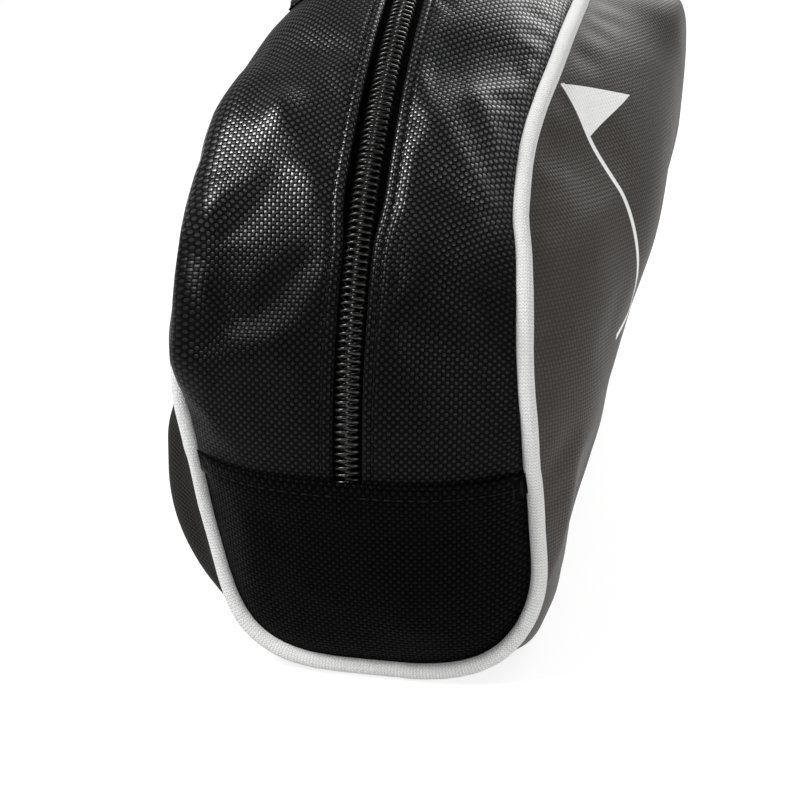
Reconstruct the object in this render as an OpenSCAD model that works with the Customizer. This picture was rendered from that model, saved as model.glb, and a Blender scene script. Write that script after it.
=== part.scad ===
// Soft golf shoe bag: two padded side panels and a base, closed by one long
// strip that runs from end to end over the top and carries the zip.

/* [Body] */
// Length of the body between its two end panels
body_len = 340; // [310:1:380]
// Height of the zip's crest above the floor
body_h = 205; // [198:1:225]
// Width of the strip between piping centres at the end seams
strip_w = 98; // [90:1:106]
// Extra width of the strip at the crest
strip_flare = 4; // [0:0.5:10]
// How far each side panel swells past the strip
side_bulge = 34; // [24:1:42]
// Height at which the side panels swell most
bulge_h = 138; // [120:1:142]
// How much lower the left side panel swells most
left_drop = 24; // [0:1:30]
// Height of the seam between end panel and zip section
seam_h = 71; // [64:1:76]
// Radius of the strip's curve just above the end seams
end_r = 107; // [98:1:112]

/* [Strip and end panels] */
// How far the strip's edges fall back from its middle at the end seams
crown_end = 17; // [10:0.5:22]
// The same fall at the crest
crown_top = 16; // [10:0.5:20]
// How far the foot of an end panel is set back under the body
foot_set = 12; // [8:0.5:18]
// Extra set-back of the end panel's lower sides
corner_set = 3; // [0:0.5:8]
// Squareness of the end panel's rounded foot
foot_power = 3.6; // [3:0.1:4.2]

/* [Base] */
// Width of the flat base between its side seams
base_w = 98; // [86:1:102]
// Half width of the base where it meets an end panel
base_tip = 35; // [30:1:37]
// Share of the base's length that lies flat on the floor
base_flat = 0.7; // [0.6:0.05:0.8]

/* [Layers] */
// Thickness of the outer fabric
fabric_t = 1.2; // [0.8:0.1:1.6]
// Thickness of the foam padding
foam_t = 3; // [2:0.5:5]
// Thickness of the lining
lining_t = 0.6; // [0.4:0.1:1]
// Clearance between neighbouring layers
layer_gap = 0.2; // [0.15:0.05:0.3]
// Thickness of the folded strip fabric
strip_t = 2; // [1.6:0.1:2.6]
// Width of the seam binding tape
binding_w = 9; // [6:0.5:12]
// Thickness of the seam binding tape
binding_t = 0.8; // [0.5:0.1:1.2]
// Width of the seam allowance, where foam and lining are cut back
seam_allowance = 7; // [6:0.5:9]

/* [Piping] */
// Diameter of the covered piping
piping_d = 5.2; // [4:0.2:6]
// Diameter of the cord inside the piping
piping_cord_d = 3.4; // [2.4:0.2:3.4]

/* [Zip] */
// Gap between the strip's folded edges at the end seams
zip_gap_end = 8.4; // [8.2:0.2:10]
// The same gap at the crest
zip_gap_top = 16; // [14:0.5:18]
// Width of the closed coil
coil_w = 7.4; // [6:0.1:8]
// Height of the coil
coil_h = 2.7; // [2:0.1:3]
// Gap between the two coil halves
coil_split = 1; // [0.9:0.1:1.2]
// Width of each half of the zip tape
tape_w = 15; // [12:0.5:17]
// Thickness of the zip tape
tape_t = 0.6; // [0.4:0.1:0.8]

/* [Sliders] */
// Length of a slider along the zip
slider_l = 13; // [10:0.5:16]
// Thickness of a slider's two plates and side walls
slider_t = 1.3; // [1:0.1:1.5]
// Running clearance round the coil and tape
run_gap = 0.4; // [0.3:0.05:0.5]
// Gap between the two sliders when the bag is shut
park_gap = 1; // [0.6:0.1:2]
// Thickness of the web that joins a slider's plates
web_t = 0.3; // [0.2:0.05:0.3]
// Diameter of the pull tab's cross bar
bar_d = 1.6; // [1.2:0.1:2]
// Width of the bridge that holds the cross bar
bridge_w = 3; // [2.4:0.2:3.6]
// Width of a pull tab
tab_w = 9; // [8:0.5:10]
// Length of a pull tab from its cross bar to its tip
tab_l = 26; // [22:1:32]
// Thickness of a pull tab
tab_t = 1.4; // [1:0.1:1.6]
// Length of the rubber grip on a pull tab
grip_l = 24; // [18:1:28]
// Wall of the rubber grip
grip_wall = 1; // [0.8:0.1:1.2]

/* [Handle] */
// Width of the handle webbing
web_w = 20; // [18:1:24]
// Thickness of the handle webbing
web_h = 1.8; // [1.4:0.1:2.4]
// Distance of the webbing's middle line from the zip
handle_x = 30; // [28:0.5:31]
// Half of the free span between the sewn ends
handle_half = 53; // [48:1:60]
// Rise of the handle above its sewn ends
handle_rise = 40; // [34:1:50]
// Length of each sewn end
handle_foot = 17; // [15:1:20]
// Length of the padded sleeve
sleeve_l = 84; // [70:2:88]
// Wall of the padded sleeve
sleeve_t = 2.4; // [1.6:0.2:3.2]
// Margin of the reinforcement patch round a sewn end
patch_margin = 3; // [2:0.5:4]
// Thickness of the reinforcement patch
patch_t = 1; // [0.8:0.1:1.4]

/* [Hidden] */

fabric_black = [0.09, 0.09, 0.1];
foam_grey = [0.6, 0.6, 0.58];
lining_grey = [0.32, 0.32, 0.34];
piping_white = [0.93, 0.93, 0.92];
coil_black = [0.05, 0.05, 0.06];
metal_dark = [0.2, 0.2, 0.22];

// ---- the strip's path: a three-centred arch, phi = 0 at the front seam, 180 at the rear
arch_half = body_len / 2 - end_r;
arch_rise = body_h - seam_h;
top_r = (pow(arch_half, 2) + pow(arch_rise, 2) - pow(end_r, 2)) / (2 * (arch_rise - end_r));
top_z = body_h - top_r;
knee = atan2(seam_h - top_z, arch_half);
arch_steps = 26;
arch_phis = [for (i = [0:arch_steps]) 180 * i / arch_steps];

function arch(phi, off = 0) =
    let (side = phi < 90 ? -1 : 1, e = min(phi, 180 - phi))
    e < knee
        ? [side * (arch_half + (end_r + off) * cos(e)), seam_h + (end_r + off) * sin(e)]
        : [side * (top_r + off) * cos(e), top_z + (top_r + off) * sin(e)];
function strip_half(phi) = (strip_w + strip_flare * sin(phi)) / 2;
function strip_fall(phi) = crown_top + (crown_end - crown_top) * pow(cos(phi), 6);
function zip_half(phi) = (zip_gap_end + (zip_gap_top - zip_gap_end) * pow(sin(phi), 2)) / 2;
function strip_point(phi, x, off = 0) =
    let (v = abs(x) / strip_half(phi), p = arch(phi, off - strip_fall(phi) * pow(v, 3)))
    [x, p.x, p.y];

// ---- the end panel: q = 0 at the seam, 1 at the foot
foot_z = piping_d / 2 + 0.6;
foot_drop = seam_h - foot_z;
function foot_half(q) = strip_w / 2 * pow(max(0, 1 - pow(q, foot_power)), 1 / foot_power);
function edge_set(q) = crown_end + (foot_set - crown_end) * q * q + corner_set * 4 * q * (1 - q);
function end_point(x, q) =
    let (middle = foot_set * pow(q, 3), v = min(1, abs(x) / max(0.01, foot_half(q))))
    [x, -body_len / 2 + middle + (edge_set(q) - middle) * pow(v, 3), seam_h - foot_drop * q];

// ---- the piping's path, right half, from the front foot over the top to the rear foot
foot_turns = [90, 78, 66, 54, 42, 31, 21, 12, 5];
function foot_q(t) = pow(sin(t), 2 / foot_power);
function front_foot_path() = [for (t = foot_turns)
    let (q = foot_q(t)) [(strip_w / 2) * pow(max(0, cos(t)), 2 / foot_power),
        -body_len / 2 + edge_set(q), seam_h - foot_drop * q]];
function over_path() = [for (phi = arch_phis) strip_point(phi, strip_half(phi))];
function rear_of(points) = [for (i = [len(points) - 1:-1:0]) let (p = points[i]) [p.x, -p.y, p.z]];
function left_of(points) = [for (i = [len(points) - 2:-1:1]) let (p = points[i]) [-p.x, p.y, p.z]];
right_path = concat(front_foot_path(), over_path(), rear_of(front_foot_path()));
loop_path = concat(right_path, left_of(right_path));
flat_out = [for (t = foot_turns) [0, -1, 0]];
right_out = concat(flat_out, [for (phi = arch_phis) [0, -cos(phi), sin(phi)]], rear_of(flat_out));
loop_out = concat(right_out, left_of(right_out));

// ---- the base's outline, w = -1 at the front, 1 at the rear
base_corner_q = pow(1 - pow(2 * base_tip / strip_w, foot_power), 1 / foot_power);
base_corner_y = body_len / 2 - edge_set(base_corner_q);
base_corner_z = seam_h - foot_drop * base_corner_q;
base_nose_y = body_len / 2 - foot_set;
function base_lift(w) = pow(max(0, (abs(w) - base_flat) / (1 - base_flat)), 2);
function base_half(w) = base_w / 2 - (base_w / 2 - base_tip) * pow(w, 6);
function base_edge(w) = [base_half(w), w * base_corner_y, base_corner_z * base_lift(w)];
base_rows = [for (a = [-90:10:90]) sin(a)];

// ---- grids of points and the closed shells made from them
function unit(v) = v / norm(v);
function held(i, n) = max(0, min(n - 1, i));
function grid_normal(g, i, j, wrap) =
    let (n = len(g), m = len(g[0]),
         left = wrap ? (j + m - 1) % m : held(j - 1, m),
         right = wrap ? (j + 1) % m : held(j + 1, m))
    unit(cross(g[held(i + 1, n)][j] - g[held(i - 1, n)][j], g[i][right] - g[i][left]));
function lifted(g, d, wrap = false) =
    [for (i = [0:len(g) - 1]) [for (j = [0:len(g[0]) - 1]) g[i][j] + d * grid_normal(g, i, j, wrap)]];
function flat_list(g) = [for (row = g) for (p = row) p];
function rows_from(g, first, last = 1000) = [for (i = [first:min(last, len(g) - 1)]) g[i]];
function cols_from(g, first, last) = [for (row = g) [for (j = [first:last]) row[j]]];

// A closed solid between the grids outer and inner; rows or columns may run round,
// and peaks = [outer, inner] closes the last row over a middle point
module slab(outer, inner, rows_round = false, cols_round = false, peaks = []) {
    n = len(outer);
    m = len(outer[0]);
    size = n * m;
    last_i = rows_round ? n - 1 : n - 2;
    last_j = cols_round ? m - 1 : m - 2;
    capped = len(peaks) == 2;
    points = concat(flat_list(outer), flat_list(inner), peaks);
    faces = concat(
        [for (i = [0:last_i]) for (j = [0:last_j])
            let (k = (i + 1) % n, l = (j + 1) % m, a = i * m + j, b = i * m + l,
                 c = k * m + l, d = k * m + j, s = size)
            each [[a, b, c], [a, c, d], [s + a, s + c, s + b], [s + a, s + d, s + c]]],
        rows_round ? [] : [for (j = [0:last_j])
            let (a = j, b = (j + 1) % m, s = size)
            each [[b, a, s + a], [b, s + a, s + b]]],
        rows_round || capped ? [] : [for (j = [0:last_j])
            let (d = (n - 1) * m + j, c = (n - 1) * m + (j + 1) % m, s = size)
            each [[d, c, s + c], [d, s + c, s + d]]],
        cols_round ? [] : [for (i = [0:last_i])
            let (k = (i + 1) % n, a = i * m, d = k * m, b = a + m - 1, c = d + m - 1, s = size)
            each [[a, d, s + d], [a, s + d, s + a], [c, b, s + b], [c, s + b, s + c]]],
        !capped ? [] : [for (j = [0:last_j])
            let (d = (n - 1) * m + j, c = (n - 1) * m + (j + 1) % m, s = size)
            each [[d, c, 2 * s], [s + c, s + d, 2 * s + 1]]]
    );
    polyhedron(points = points, faces = faces, convexity = 8);
}

// Rings of points round a closed path, for a tube of radius r
piping_sides = 10;
piping_bore = piping_cord_d + 2 * layer_gap;
// Directions round the piping; the cover stays open where its two edges go into the seam
all_round = [for (k = [0:piping_sides - 1]) 360 * k / piping_sides];
open_inside = [for (k = [0:piping_sides]) -70 + 320 * k / piping_sides];
function rings(path, out, r, angles) =
    [for (i = [0:len(path) - 1])
        let (n = len(path), t = unit(path[(i + 1) % n] - path[(i + n - 1) % n]),
             side = unit(cross(t, out[i])), up = cross(side, t))
        [for (a = angles) path[i] + r * (side * cos(a) + up * sin(a))]];

// ---- side panels: rings from the seam in to the middle; ring 1 is the stitch line. s = 1 right, -1 left
side_x = strip_w / 2 + side_bulge;
function side_mid(s) = s > 0 ? bulge_h : bulge_h - left_drop;
// Roundness of the swelling: level with its middle and at the crest on the right; level with its middle, at
// the crest, towards the floor and, on top of that, towards the floor's front on the left
full_power = 3.2;
top_power = 6;
left_power = 2.7;
left_top_power = 1.85;
left_low_gain = 0.5;
left_front_gain = 1.1;
ring_shares = [1, 0.93, 0.82, 0.66, 0.45, 0.2];
edge_gap = piping_d / 2 + 0.4;
base_gap = 0.4;
corner_gap = 3 * edge_gap;
low_turns = [for (t = foot_turns) if (t < 48) t];
front_outline = [for (t = low_turns) let (q = foot_q(t))
    [foot_half(q), -body_len / 2 + edge_set(q), seam_h - foot_drop * q]];
side_outline = concat(front_outline, over_path(), rear_of(front_outline));
side_base = [for (i = [len(base_rows) - 1:-1:0]) base_edge(base_rows[i])];
// Share of the full swelling left at r, on the way from the middle to a place on the seam; the slack
// lower part of the right side falls in towards the floor, most of all at the front
slack_swell = [[0, 1], [0.15, 0.985], [0.2, 0.965], [0.32, 0.84], [0.45, 0.65], [0.53, 0.51], [0.6, 0.42],
    [0.674, 0.345], [0.746, 0.275], [0.82, 0.2], [0.89, 0.13], [0.95, 0.08], [1, 0]];
function side_swell(s, b, r) =
    let (up = max(0, (b.z - side_mid(s)) / (body_h - side_mid(s))),
         low = min(1, max(0, (bulge_h - b.z - 20) / 60)) * (1 - 0.4 * min(1, max(0, b.y / 80))),
         down = max(0, (side_mid(s) - b.z) / side_mid(s)), front = min(1, max(0, -b.y / 120)),
         power = s > 0 ? full_power + (top_power - full_power) * up
             : left_power + (left_top_power - left_power) * up + (left_low_gain + left_front_gain * front) * down)
    s > 0 ? (1 - pow(r, power)) * (1 - low) + lookup(r, slack_swell) * low : 1 - pow(r, power);
function side_ring(s, share, cut, base_cut) =
    let (line = concat(side_outline, side_base), k = len(side_outline), mid = side_mid(s))
    [for (i = [0:len(line) - 1])
        let (b = line[i], arm = norm([b.y, b.z - mid]),
             free = i >= k && abs(b.y) < base_corner_y - corner_gap,
             r = share * (1 - (free ? base_cut : cut) / arm))
        [b.x + (side_x - b.x) * side_swell(s, b, r), b.y * r, mid + (b.z - mid) * r]];
function side_grid(s) = concat([side_ring(s, 1, edge_gap, base_gap)],
    [for (share = ring_shares) side_ring(s, share, seam_allowance, seam_allowance)]);
right_grid = side_grid(1);
left_grid = side_grid(-1);
// One layer of a side panel, top to bottom below its outer face, from ring first inwards
module side_layer(s, top, bottom, first) {
    grid = s > 0 ? right_grid : left_grid;
    slab(rows_from(lifted(grid, -top, true), first), rows_from(lifted(grid, -bottom, true), first),
        cols_round = true, peaks = [[side_x - top, 0, side_mid(s)], [side_x - bottom, 0, side_mid(s)]]);
}
foam_top = fabric_t + layer_gap;
lining_top = foam_top + foam_t + layer_gap;
module side_panel(s) side_layer(s, 0, fabric_t, 0);
module side_foam(s) side_layer(s, foam_top, foam_top + foam_t, 1);
module side_lining(s) side_layer(s, lining_top, lining_top + lining_t, 1);
module side_panel_right() color(fabric_black) side_panel(1);
module side_panel_left() color(fabric_black) mirror([1, 0, 0]) side_panel(-1);
module side_foam_right() color(foam_grey) side_foam(1);
module side_foam_left() color(foam_grey) mirror([1, 0, 0]) side_foam(-1);
module side_lining_right() color(lining_grey) side_lining(1);
module side_lining_left() color(lining_grey) mirror([1, 0, 0]) side_lining(-1);

// ---- base
base_inset = seam_allowance + fabric_t;
base_cols = let (in = 1 - 2 * base_inset / base_w) [-1, -in, -0.5, -0.25, 0, 0.25, 0.5, in, 1];
base_grid = [for (w = base_rows) [for (v = base_cols)
    let (e = base_edge(w), rim = pow(abs(v), 3), z = e.z * rim + foot_z * base_lift(w) * (1 - rim),
         reach = base_corner_y * rim + base_nose_y * (1 - rim) - edge_gap)
    [v * (e.x - fabric_t), w * reach, z]]];
// One layer of the base, cut back by a number of grid lines on every side
module base_layer(top, bottom, back) {
    function kept(d) = cols_from(rows_from(lifted(base_grid, -d), 2 * back, len(base_rows) - 1 - 2 * back),
        back, len(base_cols) - 1 - back);
    slab(kept(top), kept(bottom));
}
module base_panel() color(fabric_black) base_layer(0, fabric_t, 0);
module base_foam() color(foam_grey) base_layer(foam_top, foam_top + foam_t, 1);
module base_lining() color(lining_grey) base_layer(lining_top, lining_top + lining_t, 1);

// ---- end panels: rings from the piping in to the middle of the end seam
end_turns = [0, 8, 16, 26, 37, 48, 60, 75, 90, 105, 120, 132, 143, 154, 164, 172, 180];
end_shares = [1, 0.7, 0.4, 0.04];
function end_ring(share, inset) = [for (t = end_turns)
    let (corner = [(strip_w / 2) * sign(cos(t)) * pow(abs(cos(t)), 2 / foot_power), foot_drop * foot_q(t)],
         p = corner * share * (1 - inset / norm(corner)), q = p.y / foot_drop)
    end_point(p.x, q)];
end_insets = [edge_gap, seam_allowance, seam_allowance + binding_w];
end_grid = concat([for (inset = end_insets) end_ring(1, inset)],
    [for (share = end_shares) if (share < 1) end_ring(share, end_insets[2])]);
module end_layer(top, bottom, first, last = 1000)
    slab(rows_from(lifted(end_grid, -top), first, last), rows_from(lifted(end_grid, -bottom), first, last));
end_lining_top = fabric_t + layer_gap;
end_binding_top = end_lining_top + lining_t + layer_gap;
module end_panel() end_layer(0, fabric_t, 0);
module end_lining() end_layer(end_lining_top, end_lining_top + lining_t, 1);
module end_binding() end_layer(end_binding_top, end_binding_top + binding_t, 1, 2);
module end_panel_front() color(fabric_black) end_panel();
module end_panel_rear() color(fabric_black) mirror([0, 1, 0]) end_panel();
module end_lining_front() color(lining_grey) end_lining();
module end_lining_rear() color(lining_grey) mirror([0, 1, 0]) end_lining();

// ---- zip strip
seam_step = 0.4;
strip_phis = concat([seam_step], [for (i = [1:arch_steps - 1]) arch_phis[i]], [180 - seam_step]);
// Distances in from the piping to the grid lines across half the strip
line_cuts = [edge_gap, edge_gap + 1, edge_gap + 1 + binding_w];
function across(phi, off) =
    let (out = strip_half(phi), in = zip_half(phi), last = out - line_cuts[2])
    concat([for (cut = line_cuts) strip_point(phi, out - cut, off)],
        [for (j = [1:3]) strip_point(phi, last + (in - last) * j / 3, off)]);
module strip_layer(top, bottom, first, last) {
    function rows(off) = cols_from([for (phi = strip_phis) across(phi, off)], first, last);
    slab(rows(-top), rows(-bottom));
}
module zip_gusset() strip_layer(0, strip_t, 0, 5);
binding_top = strip_t + layer_gap;
module seam_binding() strip_layer(binding_top, binding_top + binding_t, 1, 2);
module zip_gusset_right() color(fabric_black) zip_gusset();
module zip_gusset_left() color(fabric_black) mirror([1, 0, 0]) zip_gusset();
module seam_binding_right() color(lining_grey) seam_binding();
module seam_binding_left() color(lining_grey) mirror([1, 0, 0]) seam_binding();

module end_binding_front() color(lining_grey) end_binding();
module end_binding_rear() color(lining_grey) mirror([0, 1, 0]) end_binding();

// ---- piping
module piping_cover() color(piping_white)
    slab(rings(loop_path, loop_out, piping_d / 2, open_inside),
        rings(loop_path, loop_out, piping_bore / 2, open_inside), rows_round = true);
module piping_cord() color(piping_white) {
    grid = rings(loop_path, loop_out, piping_cord_d / 2, all_round);
    n = len(grid);
    m = piping_sides;
    faces = [for (i = [0:n - 1]) for (j = [0:m - 1])
        let (k = (i + 1) % n, l = (j + 1) % m)
        each [[i * m + j, i * m + l, k * m + l], [i * m + j, k * m + l, k * m + j]]];
    polyhedron(points = flat_list(grid), faces = faces, convexity = 8);
}

// ---- zip: bands along the arch, and arcs about the centre of its crest
function backwards(points) = [for (i = [len(points) - 1:-1:0]) points[i]];
zip_phis = concat([seam_step], [for (phi = [2.5:2.5:177.5]) phi], [180 - seam_step]);
module zip_band(x0, x1, low, high)
    translate([x0, 0, 0]) rotate([90, 0, 90]) linear_extrude(x1 - x0)
        polygon(concat([for (phi = zip_phis) arch(phi, low)],
            backwards([for (phi = zip_phis) arch(phi, high)])));
module crest_arc(from, to, x0, x1, low, high)
    translate([0, 0, top_z]) rotate([90, 0, 90]) rotate([0, 0, from])
        rotate_extrude(angle = to - from, $fn = 180)
            translate([top_r + low, x0]) square([high - low, x1 - x0]);
tape_drop = 0.95;
sewn_gap = 0.1;
tape_high = -strip_t - tape_drop;
coil_low = tape_high + sewn_gap;
module zip_tape() zip_band(coil_split / 2, coil_split / 2 + tape_w, tape_high - tape_t, tape_high);
module zip_coil() zip_band(coil_split / 2, coil_w / 2, coil_low, coil_low + coil_h);
module zip_tape_right() color(fabric_black) zip_tape();
module zip_tape_left() color(fabric_black) mirror([1, 0, 0]) zip_tape();
module zip_coil_right() color(coil_black) zip_coil();
module zip_coil_left() color(coil_black) mirror([1, 0, 0]) zip_coil();

// ---- sliders, drawn for the front one; the rear one is its mirror image
slider_half = coil_w / 2 + run_gap + slider_t;
slider_low = tape_high - tape_t - run_gap;
slider_high = coil_low + coil_h + run_gap;
slider_span = slider_l / top_r * 180 / PI;
park_span = park_gap / 2 / top_r * 180 / PI;
slider_mid = 90 + park_span + slider_span / 2;
bar_rise = slider_high + slider_t + bar_d / 2 + run_gap;
bridge_l = 9;
module slider_body() {
    from = 90 + park_span;
    to = from + slider_span;
    crest_arc(from, to, -slider_half, slider_half, slider_high, slider_high + slider_t);
    crest_arc(from, to, -slider_half, slider_half, slider_low - slider_t, slider_low);
    for (side = [0, 1]) mirror([side, 0, 0])
        crest_arc(from, to, slider_half - slider_t, slider_half, tape_high + run_gap, slider_high);
    crest_arc(from, from + slider_span / 3, -web_t / 2, web_t / 2, slider_low, slider_high);
}
// Places things in the slider's own frame: +Y to the rear, z = 0 on the arch
module at_slider() translate([0, 0, top_z]) rotate([slider_mid - 90, 0, 0]) translate([0, 0, top_r])
    children();
bridge_leg = 1.4;
bridge_clear = bar_d + 2 * run_gap;
bridge_foot_gap = 0.02;
bridge_shoulder = 0.6;
function bridge_line(grow) = let (half = bridge_l / 2 - bridge_leg + grow, top = bridge_clear + grow)
    [[-half, 0], [-half, bridge_shoulder * top], [-half / 2, top],
        [half / 2, top], [half, bridge_shoulder * top], [half, 0]];
module slider_bridge() at_slider()
    translate([-bridge_w / 2, 0, slider_high + slider_t + bridge_foot_gap]) rotate([90, 0, 90])
        linear_extrude(bridge_w) polygon(concat(bridge_line(bridge_leg), backwards(bridge_line(0))));
tab_droop = 3;
eye_end = 1.6;
module at_bar() at_slider() translate([0, 0, bar_rise]) rotate([tab_droop, 0, 0]) children();
module pull_tab() at_bar() {
    arm = (tab_w - bridge_w - 2 * run_gap) / 2;
    eye = bridge_l / 2 + run_gap + eye_end;
    rotate([0, 90, 0]) translate([0, 0, -tab_w / 2]) cylinder(d = bar_d, h = tab_w, $fn = 32);
    difference() {
        translate([-tab_w / 2, -tab_l, -tab_t / 2]) cube([tab_w, tab_l, tab_t]);
        translate([-tab_w / 2 + arm, -eye, -tab_t]) cube([tab_w - 2 * arm, eye + 1, 2 * tab_t]);
    }
}
grip_gap = 0.2;
grip_share = 0.35;
grip_hole_d = 4;
grip_hole_end = 4.5;
module pull_grip() at_bar() {
    pocket_w = tab_w + 2 * grip_gap;
    pocket_t = tab_t + 2 * grip_gap;
    wide = pocket_w + 2 * grip_wall;
    high = pocket_t + 2 * grip_wall;
    tip = -tab_l - grip_l * grip_share;
    difference() {
        translate([-wide / 2, tip, -high / 2]) cube([wide, grip_l, high]);
        translate([-pocket_w / 2, -tab_l - grip_gap, -pocket_t / 2]) cube([pocket_w, grip_l, pocket_t]);
        translate([0, tip + grip_hole_end, 0])
            cylinder(d = grip_hole_d, h = 2 * high, center = true, $fn = 32);
    }
}
module front_slider_body() color(metal_dark) slider_body();
module front_slider_bridge() color(metal_dark) slider_bridge();
module front_pull_tab() color(metal_dark) pull_tab();
module front_pull_grip() color(coil_black) pull_grip();
module rear_slider_body() color(metal_dark) mirror([0, 1, 0]) slider_body();
module rear_slider_bridge() color(metal_dark) mirror([0, 1, 0]) slider_bridge();
module rear_pull_tab() color(metal_dark) mirror([0, 1, 0]) pull_tab();
module rear_pull_grip() color(coil_black) mirror([0, 1, 0]) pull_grip();

// ---- handle, along the left half of the strip
patch_low = 0.4;
patch_gap = 0.1;
sleeve_gap = 0.7;
foot_low = patch_low + patch_t + patch_gap;
foot_phi = acos(handle_half / top_r);
foot_span = handle_foot / top_r * 180 / PI;
margin_span = patch_margin / top_r * 180 / PI;
foot_steps = 3;
lift_turns = [for (a = [8:8:88]) a];
rise_power = 1.6;
fade_end = 40;
// Height of the webbing's middle line, a = 0 and 180 at its sewn ends
function free_line(a, x) =
    let (fade = max(0, 1 - min(a, 180 - a) / fade_end), foot = strip_side(foot_phi, x, foot_low + web_h / 2),
         flat = strip_side(foot_phi, handle_x, foot_low + web_h / 2))
    [-handle_half * cos(a), flat.y + (foot.y - flat.y) * fade + handle_rise * pow(sin(a), rise_power)];
function strip_side(phi, x, off) = let (p = strip_point(phi, x, off)) [p.y, p.z];
function foot_line(x, off) =
    [for (i = [0:foot_steps]) strip_side(foot_phi - foot_span * (1 - i / foot_steps), x, off)];
function turned(line) = [for (i = [len(line) - 1:-1:0]) [-line[i].x, line[i].y]];
function handle_line(x) =
    let (front = concat(foot_line(x, foot_low + web_h / 2), [for (a = lift_turns) free_line(a, x)]))
    concat(front, turned(front));
function across_line(line, i) =
    let (d = line[held(i + 1, len(line))] - line[held(i - 1, len(line))])
    [-d.y, d.x] / norm(d);
web_cols = [for (u = [-1:0.5:1]) handle_x + u * web_w / 2];
web_lines = [for (x = web_cols) handle_line(x)];
function web_point(i, j, off) =
    let (p = web_lines[j][i] + off * across_line(web_lines[j], i)) [-web_cols[j], p.x, p.y];
function web_face(off) = [for (i = [0:len(web_lines[0]) - 1])
    [for (j = [0:len(web_cols) - 1]) web_point(i, j, off)]];
module handle_webbing() color(fabric_black) slab(web_face(web_h / 2), web_face(-web_h / 2));
sleeve_sides = 16;
sleeve_power = 0.45;
sleeve_start = acos(sleeve_l / 2 / handle_half);
sleeve_turns = [for (k = [0:12]) sleeve_start + (180 - 2 * sleeve_start) * k / 12];
sleeve_line = [for (a = sleeve_turns) free_line(a, handle_x)];
sleeve_ends = concat([free_line(sleeve_start - 1, handle_x)], sleeve_line,
    [free_line(181 - sleeve_start, handle_x)]);
function sleeve_point(i, a, grow) =
    let (n = across_line(sleeve_ends, i + 1),
         wide = (web_w / 2 + grow) * sign(cos(a)) * pow(abs(cos(a)), sleeve_power),
         high = (web_h / 2 + grow) * sign(sin(a)) * pow(abs(sin(a)), sleeve_power))
    [-handle_x + wide, sleeve_line[i].x + high * n.x, sleeve_line[i].y + high * n.y];
function sleeve_tube(grow) = [for (i = [0:len(sleeve_line) - 1])
    [for (k = [0:sleeve_sides - 1]) sleeve_point(i, 360 * k / sleeve_sides, grow)]];
module handle_sleeve() color(fabric_black)
    slab(sleeve_tube(sleeve_gap + sleeve_t), sleeve_tube(sleeve_gap), cols_round = true);
patch_phis = [for (i = [0:5]) foot_phi + margin_span - (foot_span + 2 * margin_span) * (1 - i / 5)];
patch_cols = [for (u = [-1:0.5:1]) handle_x + u * (web_w / 2 + patch_margin)];
function patch_point(phi, x, off) = let (p = strip_point(phi, x, off)) [-p.x, p.y, p.z];
function patch_face(off) = [for (phi = patch_phis) [for (x = patch_cols) patch_point(phi, x, off)]];
module handle_patch() slab(patch_face(patch_low + patch_t), patch_face(patch_low));
module handle_patch_front() color(fabric_black) handle_patch();
module handle_patch_rear() color(fabric_black) mirror([0, 1, 0]) handle_patch();

side_panel_right();
side_panel_left();
side_foam_right();
side_foam_left();
side_lining_right();
side_lining_left();
base_panel();
base_foam();
base_lining();
end_panel_front();
end_panel_rear();
end_lining_front();
end_lining_rear();
zip_gusset_right();
zip_gusset_left();
seam_binding_right();
seam_binding_left();
end_binding_front();
end_binding_rear();
piping_cover();
piping_cord();
zip_tape_right();
zip_tape_left();
zip_coil_right();
zip_coil_left();
front_slider_body();
front_slider_bridge();
front_pull_tab();
front_pull_grip();
rear_slider_body();
rear_slider_bridge();
rear_pull_tab();
rear_pull_grip();
handle_webbing();
handle_sleeve();
handle_patch_front();
handle_patch_rear();
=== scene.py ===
"""A soft golf shoe bag: padded sides and base, and a strip with a zip that runs over the top."""
import bpy
import bmesh
from math import acos, atan2, copysign, cos, degrees, exp, hypot, log1p, pi, radians, sin
from mathutils import Matrix, Vector, noise


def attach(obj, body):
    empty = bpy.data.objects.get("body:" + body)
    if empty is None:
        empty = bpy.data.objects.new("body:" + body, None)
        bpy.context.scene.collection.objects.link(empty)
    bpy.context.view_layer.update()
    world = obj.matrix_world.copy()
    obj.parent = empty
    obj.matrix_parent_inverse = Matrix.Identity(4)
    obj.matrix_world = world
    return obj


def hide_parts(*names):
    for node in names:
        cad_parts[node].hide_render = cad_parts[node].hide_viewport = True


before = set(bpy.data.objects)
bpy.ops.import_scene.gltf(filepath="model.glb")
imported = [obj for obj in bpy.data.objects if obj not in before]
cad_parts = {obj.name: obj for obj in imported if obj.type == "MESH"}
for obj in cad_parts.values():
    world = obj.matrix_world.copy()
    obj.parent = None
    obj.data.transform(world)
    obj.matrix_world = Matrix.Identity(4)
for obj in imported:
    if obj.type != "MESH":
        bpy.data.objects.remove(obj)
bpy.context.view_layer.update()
MM = 0.001

# ---------------------------------------------------------------- sizes of the bag, in millimetres
BODY_LEN = 340
BODY_H = 205
SEAM_H = 71
END_R = 107
STRIP_W = 98
FOOT_SET = 12
CORNER_SET = 3
FOOT_POWER = 3.6
CROWN = 17
BASE_W = 98
BASE_TIP = 35
BASE_FLAT = 0.7
FABRIC_T = 1.2
PIPING_R = 2.6
COIL_PITCH = 2.1
END_LIP = 67.5                      # height of the end panels' folded top edges

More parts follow.
